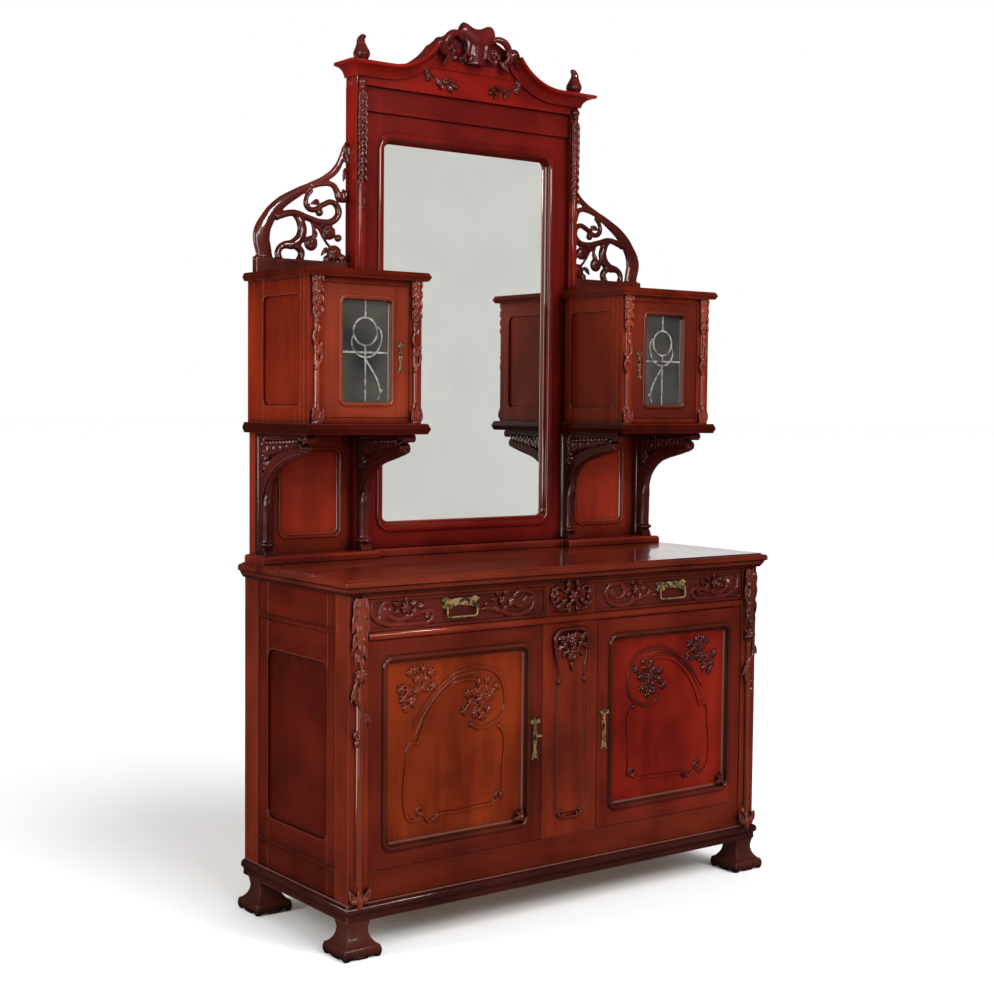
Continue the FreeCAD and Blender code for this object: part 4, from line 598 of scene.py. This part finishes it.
def drawDrawerScrolls(work):
    for course in (drawerScroll, drawerInner):
        addStem(work, thinEnds(course, drawerLook["stem"], drawerLook["tip"]), 0.8)
    addStem(work, [(-452, 822, 5), (-446, 838, 6), (-452, 850, 5)])
    addBud(work, -600, 852, 46, 34, 70, -2, 0.5)
    addBud(work, -150, 852, 34, 30, 0, -3, 0.5)
    addScroll(work, -590, 862, 18, 190, -330, 6, flat=0.9)
    addScroll(work, -148, 858, 14, 20, -300, 4.6, flat=0.9)
    for u, v, turn, length in ((-552, 866, 150, 28), (-548, 856, 190, 26), (-536, 872, 70, 20), (-522, 868, 20, 28),
                               (-520, 854, -20, 30), (-534, 846, -70, 20), (-498, 862, 10, 24), (-610, 850, -120, 20),
                               (-478, 832, 30, 22)):
        addLeaf(work, u, v, length, 13, turn, 1, 4, 3, 3)
    addFlower(work, -536, 860, 14, 6, 4, 0)
    addFlower(work, -508, 850, 10, 5, 3, 20)
    addBud(work, -304, 840, 14, 10, 0, 1, 0.8)
    for u, v, turn, length in ((-250, 860, 160, 26), (-244, 870, 110, 20), (-226, 872, 50, 22), (-214, 860, 0, 26),
                               (-226, 846, -60, 20), (-246, 848, -130, 22), (-276, 850, 160, 18), (-176, 866, 150, 18)):
        addLeaf(work, u, v, length, 13, turn, 1, 4, 3, 3)
    addFlower(work, -232, 859, 14, 6, 4, 15)
    addFlower(work, -206, 848, 9, 5, 3, 0)


carveBoth("drawerScroll", drawDrawerScrolls, drawerLook["face"], "drawer_")


# Carved front posts of the case: a drop of leaves, a flower, a wavy tendril and a leaf at the foot
postLook = {"middle": -673.5, "face": -0.2528}


def drawFrontPost(work):
    u = postLook["middle"]
    # a bundle of hanging leaves on a rounded core, full at the top
    addStem(work, [(u, 892, 15, 2), (u - 2, 850, 15, 4), (u + 1, 800, 13, 5), (u - 2, 750, 10, 4), (u, 722, 6, 3)], 0.8)
    for turn, across, v, length, width in (
            (-100, -9, 898, 62, 19), (-82, 9, 900, 66, 20), (-92, 0, 880, 70, 22), (-98, -13, 862, 60, 17),
            (-80, 13, 856, 58, 17), (-95, -3, 838, 66, 20), (-86, 10, 826, 54, 16), (-101, -11, 812, 54, 16),
            (-88, 1, 796, 58, 18), (-80, 8, 780, 46, 14), (-99, -8, 768, 44, 14), (-92, 0, 754, 44, 15)):
        addLeaf(work, u + across, v, length, width, turn, 9 - abs(across) * 0.35, 6, 2.5, across * 0.25)
    for across, v, size in ((-7, 876, 12), (9, 846, 11), (-4, 818, 12), (6, 792, 10), (-6, 770, 9)):
        addBud(work, u + across, v, size * 1.3, size, 80, 13, 0.8)
    # the flower below, and the tendril that winds down to a bud
    addBud(work, u + 1, 706, 32, 26, 90, 5, 0.9)
    addFlower(work, u + 1, 704, 17, 6, 12, 12, 0.9)
    for turn in (-150, -118, -62, -30, 30, 150):
        addLeaf(work, u + 1, 704, 25, 12, turn, 6, 4, 2)
    addStem(work, [(u - 4, 696, 5, 5), (u - 15, 672, 5, 6), (u - 14, 646, 5, 7), (u + 2, 620, 5.4, 8),
                   (u + 13, 594, 5, 7), (u + 12, 570, 4.4, 6), (u + 2, 550, 3.8, 7), (u - 6, 538, 3, 7)])
    addBud(work, u - 12, 558, 20, 14, 70, 6)
    addBud(work, u - 8, 536, 22, 18, 90, 6, 0.9)
    addLeaf(work, u + 10, 612, 40, 15, -62, 6, 5, 2, 5)
    addLeaf(work, u - 14, 674, 42, 15, -106, 6, 5, 2, -5)
    # plain half-round strip and the leaves at its foot
    addStem(work, [(u + 3, 690, 6, 1), (u + 3, 600, 8.5, 2), (u, 300, 9, 2), (u, 140, 9, 2)], 1)
    for turn, across in ((108, -15), (72, 15), (90, 0)):
        addLeaf(work, u + across, 136, 46, 20, turn, 4, 7, 4, -across * 0.3)
        addBud(work, u + across, 144, 18, 16, 0, 9, 0.9)
    addBud(work, u, 138, 20, 46, 0, 4, 0.6)


carveBoth("frontPostCarving", drawFrontPost, postLook["face"], look="postCarvedMahogany", grain=0.0015,
          smooth=2)


# Centre stile and the fixed block between the drawers
centreLook = {"face": -0.2555}


def drawCentre(work):
    # a hanging frame with bold shoulders, and a wedge of flowers in it
    for side in (-1, 1):
        addStem(work, sided(side, [(0, 766, 3.5), (26, 766, 4.4), (46, 761, 7), (56, 746, 8), (56, 724, 6),
                                   (50, 686, 4.4), (45, 652, 3.8), (45, 632, 4)]), 0.8)
        addBud(work, side * 45, 628, 16, 15, 90, 1, 0.9)
        addStem(work, sided(side, [(47, 625, 2.6), (46, 440, 2.6), (46, 276, 2.6), (40, 262, 3)]), 0.8)
        addScroll(work, side * 31, 270, 11, 200 if side > 0 else -20, side * 250, 4, flat=0.8)
        addStem(work, sided(side, [(0, 256, 3), (22, 256, 3.6), (40, 262, 3)]), 0.8)
        for v, out, size in ((742, 34, 10), (746, 15, 11), (726, 27, 10), (708, 17, 9), (692, 9, 8)):
            addFlower(work, side * out, v, size * 1.15, 5, 4, v)
        for v, out, turn in ((752, 38, -30), (730, 38, -60), (712, 26, -70), (742, 8, -90)):
            addLeaf(work, side * out, v, 26, 12, turn if side > 0 else 180 - turn, 1, 4, 3, 2)
        # on the block: a flower between curling stems and small buds
        addStem(work, sided(side, [(66, 882, 3), (70, 858, 5), (60, 834, 5), (40, 821, 4.4), (18, 824, 3.4)]), 0.85)
        addStem(work, sided(side, [(66, 874, 3), (50, 882, 4), (34, 875, 4), (30, 862, 3)]), 0.85)
        for u, v, size in ((56, 866, 14), (18, 876, 12), (30, 846, 15), (46, 836, 12), (52, 852, 11), (14, 836, 12)):
            addBud(work, side * u, v, size * 1.25, size, 40, 3, 0.9)
            addFlower(work, side * (u + 4), v - 5, size * 0.6, 5, 4, v)
        for u, v, turn in ((52, 862, 60), (18, 880, 100), (36, 840, -40), (12, 832, -70)):
            addLeaf(work, side * u, v, 24, 12, turn if side > 0 else 180 - turn, 1, 4, 3, 2)
    for row in range(6):
        addFlower(work, (-1) ** row * 4, 748 - row * 15, 13 - row * 1.3, 5, 5, row * 30, 0.9)
    addBud(work, 0, 664, 22, 12, 90, 3, 0.9)
    addFlower(work, 0, 855, 19, 6, 5, 0, 0.9)


carve("centreCarving", drawCentre, frontPlace(centreLook["face"]))


# Pilasters of the hanging cabinets
pilasterLook = {"middles": (-672, -371), "face": -0.0428}


def drawPilaster(work, u):
    # a full drop of flowers, a tendril round a knot, a half-round strip and a leaf at the foot
    addStem(work, [(u, 1700, 13, 1), (u, 1650, 12, 2), (u, 1600, 9, 2), (u, 1570, 6, 2)], 0.7)
    for row in range(8):
        v = 1694 - row * 17
        size = 14 - row * 0.9
        addFlower(work, u + (-1) ** row * 3, v, size, 5, 7, row * 40, 0.9)
    for side in (-1, 1):
        for row in range(4):
            addLeaf(work, u + side * 7, 1700 - row * 28, 34 - row * 2, 13, -90 + side * 14, 5, 4, 3, side * 3)
    addLeaf(work, u, 1572, 34, 14, -90, 5, 4, 2)
    addStem(work, [(u + 2, 1566, 4, 5), (u - 9, 1546, 4.4, 5), (u - 7, 1522, 4.6, 6), (u + 6, 1506, 4.6, 7),
                   (u + 12, 1488, 4.4, 6), (u + 5, 1468, 4, 5), (u - 4, 1456, 3.4, 5)])
    addBud(work, u + 9, 1516, 18, 13, 60, 6)
    addBud(work, u, 1498, 20, 17, 90, 6)
    addBud(work, u - 3, 1456, 15, 12, 90, 5)
    addStem(work, [(u, 1480, 6, 1), (u, 1450, 8.5, 1), (u, 1370, 8.5, 1)], 1)
    for side in (-1, 0, 1):
        addLeaf(work, u + side * 8, 1316, 56 - abs(side) * 12, 18, 90 - side * 6, 5, 5, 4, -side * 3)
    addBud(work, u, 1318, 34, 16, 0, 3, 0.8)


def drawPilasters(work):
    for middle in pilasterLook["middles"]:
        drawPilaster(work, middle)


carveBoth("pilasterCarving", drawPilasters, pilasterLook["face"], look="paleCarvedMahogany", grain=0.0012)


# Husks down the tall posts beside the mirror
huskLook = {"middle": -377.5, "rows": 11, "face": 0.2188}


def drawMirrorPost(work):
    u = huskLook["middle"]
    addBud(work, u, 2246, 26, 24, 0, 6, 0.8)
    addBud(work, u, 2232, 20, 18, 90, 7, 0.8)
    for row in range(huskLook["rows"]):
        v = 2222 - row * 22
        width = 22 - row
        for turn, shift in ((-106, -4), (-74, 4)):
            addLeaf(work, u + shift, v, 36, width * 0.62, turn, 5, 5, 2, shift * 0.4)
        addBud(work, u, v - 6, 20, 12, 90, 7)
    addStem(work, [(u, 1984, 2.8, 8), (u - 7, 1966, 2.8, 7), (u - 2, 1948, 2.8, 8), (u + 7, 1930, 2.6, 7),
                   (u + 3, 1912, 2.2, 7)])
    addBud(work, u + 2, 1906, 14, 10, 90, 8)


carveBoth("mirrorPostHusks", drawMirrorPost, huskLook["face"], grain=0.0013)
print("posts carved")


# Pierced frets as rounded whiplash stems, on the courses of the sawn ones
fretLook = {"start": 392, "reach": 298, "bottom": 1757, "rise": 326, "stem": 1.12, "thick": 10, "face": 0.2665,
            "foot": (-537.5, 1734, 3), "footSize": (291, 44, 25, 1)}
fretCourses = [
    [(0.04, 0.97, 0.02), (0.06, 0.89, 0.03), (0.13, 0.77, 0.035), (0.26, 0.68, 0.03), (0.39, 0.62, 0.03),
     (0.55, 0.54, 0.043), (0.73, 0.43, 0.055), (0.84, 0.31, 0.065), (0.9, 0.18, 0.08), (0.88, 0.055, 0.075),
     (0.86, -0.02, 0.07)],
    [(0.38, 0.61, 0.02), (0.27, 0.64, 0.02), (0.16, 0.64, 0.025), (0.11, 0.58, 0.03), (0.09, 0.54, 0.035),
     (0.0, 0.54, 0.035)],
    [(0.38, 0.585, 0.02), (0.44, 0.51, 0.02), (0.43, 0.44, 0.024), (0.36, 0.42, 0.024), (0.26, 0.47, 0.024),
     (0.16, 0.495, 0.025), (0.097, 0.43, 0.03), (0.14, 0.35, 0.03), (0.26, 0.32, 0.03), (0.43, 0.35, 0.028),
     (0.56, 0.38, 0.028), (0.71, 0.35, 0.03), (0.76, 0.33, 0.03)],
    [(0.56, 0.37, 0.025), (0.5, 0.31, 0.04), (0.485, 0.22, 0.045), (0.56, 0.13, 0.045), (0.69, 0.1, 0.03),
     (0.73, 0.055, 0.03), (0.72, -0.02, 0.035)],
    [(0.41, 0.34, 0.015), (0.31, 0.27, 0.015), (0.2, 0.24, 0.015)],
    [(0.38, 0.33, 0.015), (0.36, 0.23, 0.015), (0.39, 0.14, 0.015)],
    [(0.31, 0.27, 0.012), (0.24, 0.17, 0.012), (0.15, 0.09, 0.015)],
    [(0.52, -0.02, 0.03), (0.49, 0.06, 0.03), (0.55, 0.11, 0.03)]]
fretBerries = [(0.197, 0.24, 0.07), (0.39, 0.14, 0.073), (0.143, 0.07, 0.08)]


def drawFret(work):
    def at(a, b):
        return -(fretLook["start"] + a * fretLook["reach"]), fretLook["bottom"] + b * fretLook["rise"]
    for course in fretCourses:
        stem = []
        for a, b, radius in course:
            stem.append((*at(a, b), radius * fretLook["reach"] * fretLook["stem"]))
        # an oval bar, no thicker than the board that it is cut from
        thickest = max(radius for u, v, radius in stem)
        addStem(work, stem, min(1.0, fretLook["thick"] / thickest))
    for a, b, radius in fretBerries:
        u, v = at(a, b)
        size = radius * fretLook["reach"]
        addBud(work, u, v, 2 * size, 2 * size, 0, 0, min(1.0, fretLook["thick"] / size))
        addStem(work, [(u + size * 0.9, v + size * 0.5, 2.5), (u, v + size * 0.25, 3.2, 9),
                       (u - size * 0.9, v - size * 0.2, 2)], 1)
    # leaf by the mirror post, knob at the end of the rail and a spray low down beside the post
    for a, b, length, width, turn in ((0.03, 1.02, 60, 18, -80), (0.05, 0.9, 50, 16, -60), (0.03, 0.8, 46, 16, -100),
                                      (0.06, 0.62, 40, 16, -70), (0.3, 0.5, 40, 18, 200), (0.34, 0.26, 44, 18, 250),
                                      (0.22, 0.12, 40, 16, 230)):
        addLeaf(work, *at(a, b), length, width, turn, 2, 7, 2)
    for a, b, radius in ((0.02, 0.97, 10), (0.03, 0.54, 12), (0.3, 0.4, 12), (0.27, 0.3, 13), (0.1, 0.2, 12),
                         (0.06, 0.03, 14), (0.95, -0.02, 12), (0.22, 0.02, 12)):
        addBud(work, *at(a, b), radius * 2, radius * 1.8, 30, 0, 0.8)
    bmesh.ops.create_cube(work, size=1, matrix=(
        Matrix.Translation(fretLook["foot"]) @ Matrix.Diagonal(fretLook["footSize"])))


carveBoth("fretCarving", drawFret, fretLook["face"], grain=0.002, smooth=8)
for side in ("left", "right"):
    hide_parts("fret_" + side)
print("frets carved")


# Crest and the sprays on the pediment
crestLook = {"face": 0.207, "sprayFace": 0.2188}


def drawCrest(work):
    # the board that carries it all, behind the hollows
    addStem(work, [(-160, 2348, 9), (-126, 2372, 22), (-84, 2386, 31), (-40, 2398, 34), (0, 2396, 38), (40, 2398, 34),
                   (84, 2386, 31), (126, 2372, 22), (160, 2348, 9)], 0.42, -24)
    addStem(work, [(-120, 2350, 13), (0, 2356, 19), (120, 2350, 13)], 0.8, -20)
    # a waisted cartouche with two lobes at its head
    addStem(work, [(0, 2338, 32), (0, 2364, 29), (0, 2388, 32), (0, 2406, 38)], 0.55, -2)
    addStem(work, [(-50, 2422, 17), (-24, 2419, 24), (0, 2415, 26), (24, 2419, 24), (50, 2422, 17)], 0.7, 0)
    for side in (-1, 1):
        addStem(work, sided(side, [(0, 2408, 28), (26, 2420, 25), (46, 2432, 22), (56, 2436, 19)]), 0.75, 1)
        addStem(work, sided(side, [(44, 2412, 8, 3), (32, 2394, 7, 7), (31, 2370, 6, 6), (20, 2346, 5, 3)]), 0.8)
        # a hooded shell beside it: a thick rim round a deep flower
        addStem(work, sided(side, [(50, 2404, 5, 0), (62, 2416, 8, 5), (82, 2417, 10, 9), (102, 2406, 11, 10),
                                   (112, 2388, 10, 8), (110, 2368, 8, 6), (98, 2354, 6, 4)]))
        for u, v, size in ((78, 2384, 10), (90, 2372, 9), (70, 2370, 9), (80, 2358, 8), (64, 2352, 8)):
            addFlower(work, side * u, v, size, 5, -8, u * 9)
        # then a round lobe that runs out along the cornice, and a hooked leaf at the end
        addStem(work, sided(side, [(112, 2352, 6, 2), (122, 2368, 12, 5), (130, 2384, 16, 6), (140, 2376, 14, 4),
                                   (148, 2358, 10, 2), (158, 2344, 7, 0)]))
        addStem(work, sided(side, [(146, 2344, 8), (158, 2354, 7), (169, 2358, 3)]))
        addLeaf(work, side * 84, 2360, 56, 18, -90 + side * 42, 2, 6, 3, side * 4)
        addStem(work, sided(side, [(34, 2372, 5, 4), (46, 2356, 6, 5), (62, 2346, 5, 5)]))


carve("crestCarving", drawCrest, frontPlace(crestLook["face"]), look="crestMahogany", grain=0.0018, smooth=6,
      replaced=("crest",))


def drawSprays(work):
    # a bent stalk with leaves and a flower, on each side
    addStem(work, [(-60, 2268, 2), (-88, 2272, 2.6), (-118, 2282, 2.8), (-146, 2296, 3), (-160, 2316, 3),
                   (-156, 2338, 2.4)], 0.85)
    addBud(work, -158, 2290, 20, 17, 60, 2, 0.8)
    addFlower(work, -164, 2300, 11, 5, 3, 0)
    for u, v, turn, length in ((-146, 2288, 200, 26), (-134, 2284, -40, 34), (-120, 2278, -70, 28),
                               (-110, 2280, 10, 40), (-92, 2272, -50, 30), (-84, 2270, 20, 34), (-152, 2310, 150, 24)):
        addLeaf(work, u, v, length, 15, turn, 1, 4, 3, 4)
    addBud(work, -60, 2268, 16, 12, 0, 1, 0.8)


carveBoth("pedimentSpray", drawSprays, crestLook["sprayFace"])


# Finials: a squat bulb with a hooked tip
finialLook = {"foot": (-376, 2298), "face": 0.222}


def drawFinial(work):
    u, v = finialLook["foot"]
    addBud(work, u, v + 4, 40, 14, 0, 0, 2.6)
    addStem(work, [(u, v + 3, 12), (u, v + 10, 16), (u + 1, v + 24, 21), (u, v + 38, 17), (u - 3, v + 50, 12),
                   (u - 2, v + 62, 11.5), (u + 4, v + 71, 8), (u + 12, v + 72, 4.5)], 1)
    for number in range(4):
        angle = math.radians(45 + number * 90)
        addStem(work, [(u + 13 * math.cos(angle), v + 8, 4, 13 * math.sin(angle)),
                       (u + 19 * math.cos(angle), v + 24, 5, 19 * math.sin(angle)),
                       (u + 13 * math.cos(angle) - 1, v + 42, 4, 13 * math.sin(angle)),
                       (u + 8 * math.cos(angle) - 3, v + 56, 3, 8 * math.sin(angle))], 1)


carveBoth("finialCarving", drawFinial, finialLook["face"], grain=0.0011)
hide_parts("finials")
print("crest and finials carved")


# Consoles: rounded stems over the CAD bracket, drawn in the side plane with u forward from the wall
consoleLook = {"middles": (-0.673, -0.370, 0.370, 0.673), "wall": 0.277, "bells": 10, "husks": 7}


def consolePlace(x):
    # u runs forward from the wall, v up, w outwards to the left
    return Matrix(((0, 0, -0.001, x), (-0.001, 0, 0, consoleLook["wall"]), (0, 0.001, 0, 0), (0, 0, 0, 1)))


def drawConsole(work):
    # the arm: slender at the foot, thick under the cabinet and rounded off in a bulb
    addStem(work, [(62, 980, 9), (64, 1020, 8), (70, 1080, 9), (80, 1135, 11), (94, 1176, 14), (124, 1202, 15),
                   (168, 1219, 14), (215, 1229, 12), (246, 1238, 12.5), (264, 1246, 15.5), (270, 1252, 13)], 1)
    for w in (-7, 7):
        addStem(work, [(94, 1176, 9, w), (124, 1202, 9, w), (168, 1219, 9, w), (215, 1229, 8, w), (246, 1238, 8, w)], 1)
    # strip under the cabinet, rolled up at its end
    for w in (-10, 0, 10):
        addStem(work, [(40, 1281, 7, w), (180, 1281, 7, w), (262, 1281, 7, w), (284, 1276, 8.5, w),
                       (291, 1276, 8, w)], 1)
    # a dense row of hanging bells between them, on a core that leaves no gap
    addStem(work, [(74, 1190, 20), (84, 1236, 28), (130, 1248, 24), (180, 1256, 18), (232, 1262, 13), (262, 1266, 8)],
            0.62)
    for w in (-15, 15):
        for number in range(consoleLook["bells"]):
            u = 98 + number * 17
            addBud(work, u, 1246 + number * 1.8, 46 - number * 2.6, 17, 84 + (-1) ** number * 7, w, 0.9)
            addBud(work, u + 4, 1262 + number * 0.8, 15, 13, 80, w * 1.25, 0.9)
            addBud(work, u - 3, 1232 + number * 3, 13, 11, 80, w * 1.15, 0.9)
        for u, v, radius in ((78, 1258, 20), (80, 1228, 19), (74, 1200, 15)):
            addFlower(work, u, v, radius, 6, w + (0 if w > 0 else -radius * 0.35), u, 0.9)
    addBud(work, 82, 1208, 30, 34, 90, 0, 1)
    # husks down the front of the upright, over its rounded outer edges
    for row in range(consoleLook["husks"]):
        v = 1176 - row * 27
        lean = 84 - min(row, 4) * 3.5
        addBud(work, lean, v, 27, 13, 95, 0, 1.7)
        addLeaf(work, lean - 2, v + 6, 34, 14, -94, 7, 5, 2, -3)
        addLeaf(work, lean - 2, v + 6, 34, 14, -94, -7, 5, -2, 3)
    # half-round strips: one beside the wall, one below the arm
    for w in (-8, 8):
        addStem(work, [(42, 966, 11, w), (42, 1282, 11, w)], 1)
    for w in (-6, 6):
        addStem(work, [(68, 990, 11, w), (69, 1040, 11, w), (72, 1096, 10, w), (76, 1120, 7, w)], 1)
    addBud(work, 70, 990, 18, 46, 90, 0, 1)
    # leaf at the foot
    for w in (-9, 0, 9):
        addLeaf(work, 68, 963, 46, 20, 86, w, 6, 0, -5)
        addBud(work, 70, 968, 22, 12, 0, w, 1)


for number, x in enumerate(consoleLook["middles"]):
    carve("consoleCarving" + str(number + 1), drawConsole, consolePlace(x), look="bracketMahogany", grain=0.002)
print("consoles carved")


# Studio: a pale floor, a white surround that is greyer where it is mirrored, soft lamps, and two that give shine only
studioLook = {"backdrop": 1.0, "surround": 0.62, "glossy": 0.03, "mirrored": 0.69, "tint": (252, 251, 249),
              "floor": ((240, 240, 240), (244, 244, 244)), "floorHalf": 90}
lampLook = {
    "leftLamp": {"place": (-3.6, 0.4, 2.1), "aim": (0, 0, 1.2), "power": 70, "size": (0.5, 2.4)},
    "frontLamp": {"place": (1.2, -4.6, 3.4), "aim": (0, 0, 1.2), "power": 55, "size": (0.5, 0.5)},
    "backLamp": {"place": (3.6, 3.4, 1.5), "aim": (0.4, 0, 1.0), "power": 17, "size": (2.4, 2.0)},
    "stripLamp": {"place": (-1.8, -4.7, 1.7), "aim": (0, 0, 1.2), "power": 34, "size": (0.3, 2.6)},
    "windowLamp": {"place": (-4.2, -1.7, 1.9), "aim": (0, 0, 1.3), "power": 140, "size": (1.6, 2.2),
                   "colour": (1, 0.87, 0.79), "onlyShine": True},
    "shineLamp": {"place": (-0.2, -5.2, 3.0), "aim": (0, 0, 1.2), "power": 100, "size": (2.0, 0.8),
                  "colour": (1, 0.87, 0.79), "onlyShine": True},
}
sunLook = {"strength": 2.5, "from": (0.9, -2.6, 2.9), "softness": 40}


def mirrorStrength(tree, rays):
    # what polish reflects is dim, what the mirror reflects is brighter
    brighter = times(tree, rays["Is Singular Ray"], studioLook["mirrored"] - studioLook["glossy"])
    return plus(tree, studioLook["glossy"], brighter)


floorWork = bmesh.new()
bmesh.ops.create_grid(floorWork, x_segments=2, y_segments=2, size=studioLook["floorHalf"])
floorMesh = bpy.data.meshes.new("studioFloor")
floorWork.to_mesh(floorMesh)
floorWork.free()
floor = newObject("studioFloor", floorMesh)
paleFloor, tree, shader = newMaterial("paleFloor")
shade = noiseOf(tree, placeOf(tree), 1.5, 2.0)
fill(tree, shader, {"Base Color": mixed(tree, shade, *(linear(s) for s in studioLook["floor"])), "Roughness": 0.8,
                    "Specular IOR Level": 0.1})
# seen in the mirror, floor and surround are the same pale grey
rays = tree.nodes.new("ShaderNodeLightPath").outputs
glow = addNode(tree, "Emission", {"Color": linear(studioLook["tint"]), "Strength": mirrorStrength(tree, rays)})
blend = addNode(tree, "MixShader", {0: rays["Is Glossy Ray"], 1: shader.outputs[0], 2: glow[0]})
fill(tree, tree.nodes["Material Output"], {"Surface": blend[0]})
floorMesh.materials.append(paleFloor)

world = bpy.data.worlds.new("whiteSurround")
world.use_nodes = True
tree = world.node_tree
rays = tree.nodes.new("ShaderNodeLightPath").outputs
reflected = times(tree, rays["Is Glossy Ray"], mirrorStrength(tree, rays))
direct = times(tree, rays["Is Camera Ray"], studioLook["backdrop"])
seen = mathOf(tree, "MAXIMUM", rays["Is Glossy Ray"], rays["Is Camera Ray"])
plain = times(tree, mathOf(tree, "SUBTRACT", 1.0, seen), studioLook["surround"])
fill(tree, tree.nodes["Background"], {
    "Strength": plus(tree, plain, plus(tree, reflected, direct)),
    "Color": mixed(tree, rays["Is Glossy Ray"], (1, 1, 1, 1), linear(studioLook["tint"]))})
bpy.context.scene.world = world

for name, look in lampLook.items():
    light = bpy.data.lights.new(name, "AREA")
    light.shape = "RECTANGLE"
    light.energy = look["power"]
    light.color = look.get("colour", (1, 1, 1))
    light.size, light.size_y = look["size"]
    lamp = newObject(name, light)
    lamp.location = look["place"]
    lamp.visible_diffuse = not look.get("onlyShine", False)
    lamp.rotation_euler = (Vector(look["aim"]) - lamp.location).to_track_quat("-Z", "Y").to_euler()

sun = bpy.data.lights.new("highSun", "SUN")
sun.energy = sunLook["strength"]
sun.angle = math.radians(sunLook["softness"])
sunLamp = newObject("highSun", sun)
sunLamp.visible_glossy = False
sunLamp.rotation_euler = (-Vector(sunLook["from"])).to_track_quat("-Z", "Y").to_euler()

cameraLook = {"place": (-2.79, -3.6258, 1.3707), "yaw": 0.6444, "pitch": 0.0573, "roll": 0.0095, "lens": 59.08}
yaw, pitch, roll = cameraLook["yaw"], cameraLook["pitch"], cameraLook["roll"]
forward = Vector((math.sin(yaw) * math.cos(pitch), math.cos(yaw) * math.cos(pitch), -math.sin(pitch)))
right = Vector((math.cos(yaw), -math.sin(yaw), 0))
up = right.cross(forward)
turnedRight = right * math.cos(roll) + up * math.sin(roll)
turnedUp = up * math.cos(roll) - right * math.sin(roll)
cameraData = bpy.data.cameras.new("photoCamera")
cameraData.lens = cameraLook["lens"]
cameraData.sensor_width = 36
camera = newObject("photoCamera", cameraData)
turned = Matrix((turnedRight, turnedUp, -forward)).transposed().to_4x4()
camera.matrix_world = Matrix.Translation(cameraLook["place"]) @ turned
bpy.context.scene.camera = camera
bpy.context.scene.view_settings.view_transform = "Standard"
print("studio and camera set")
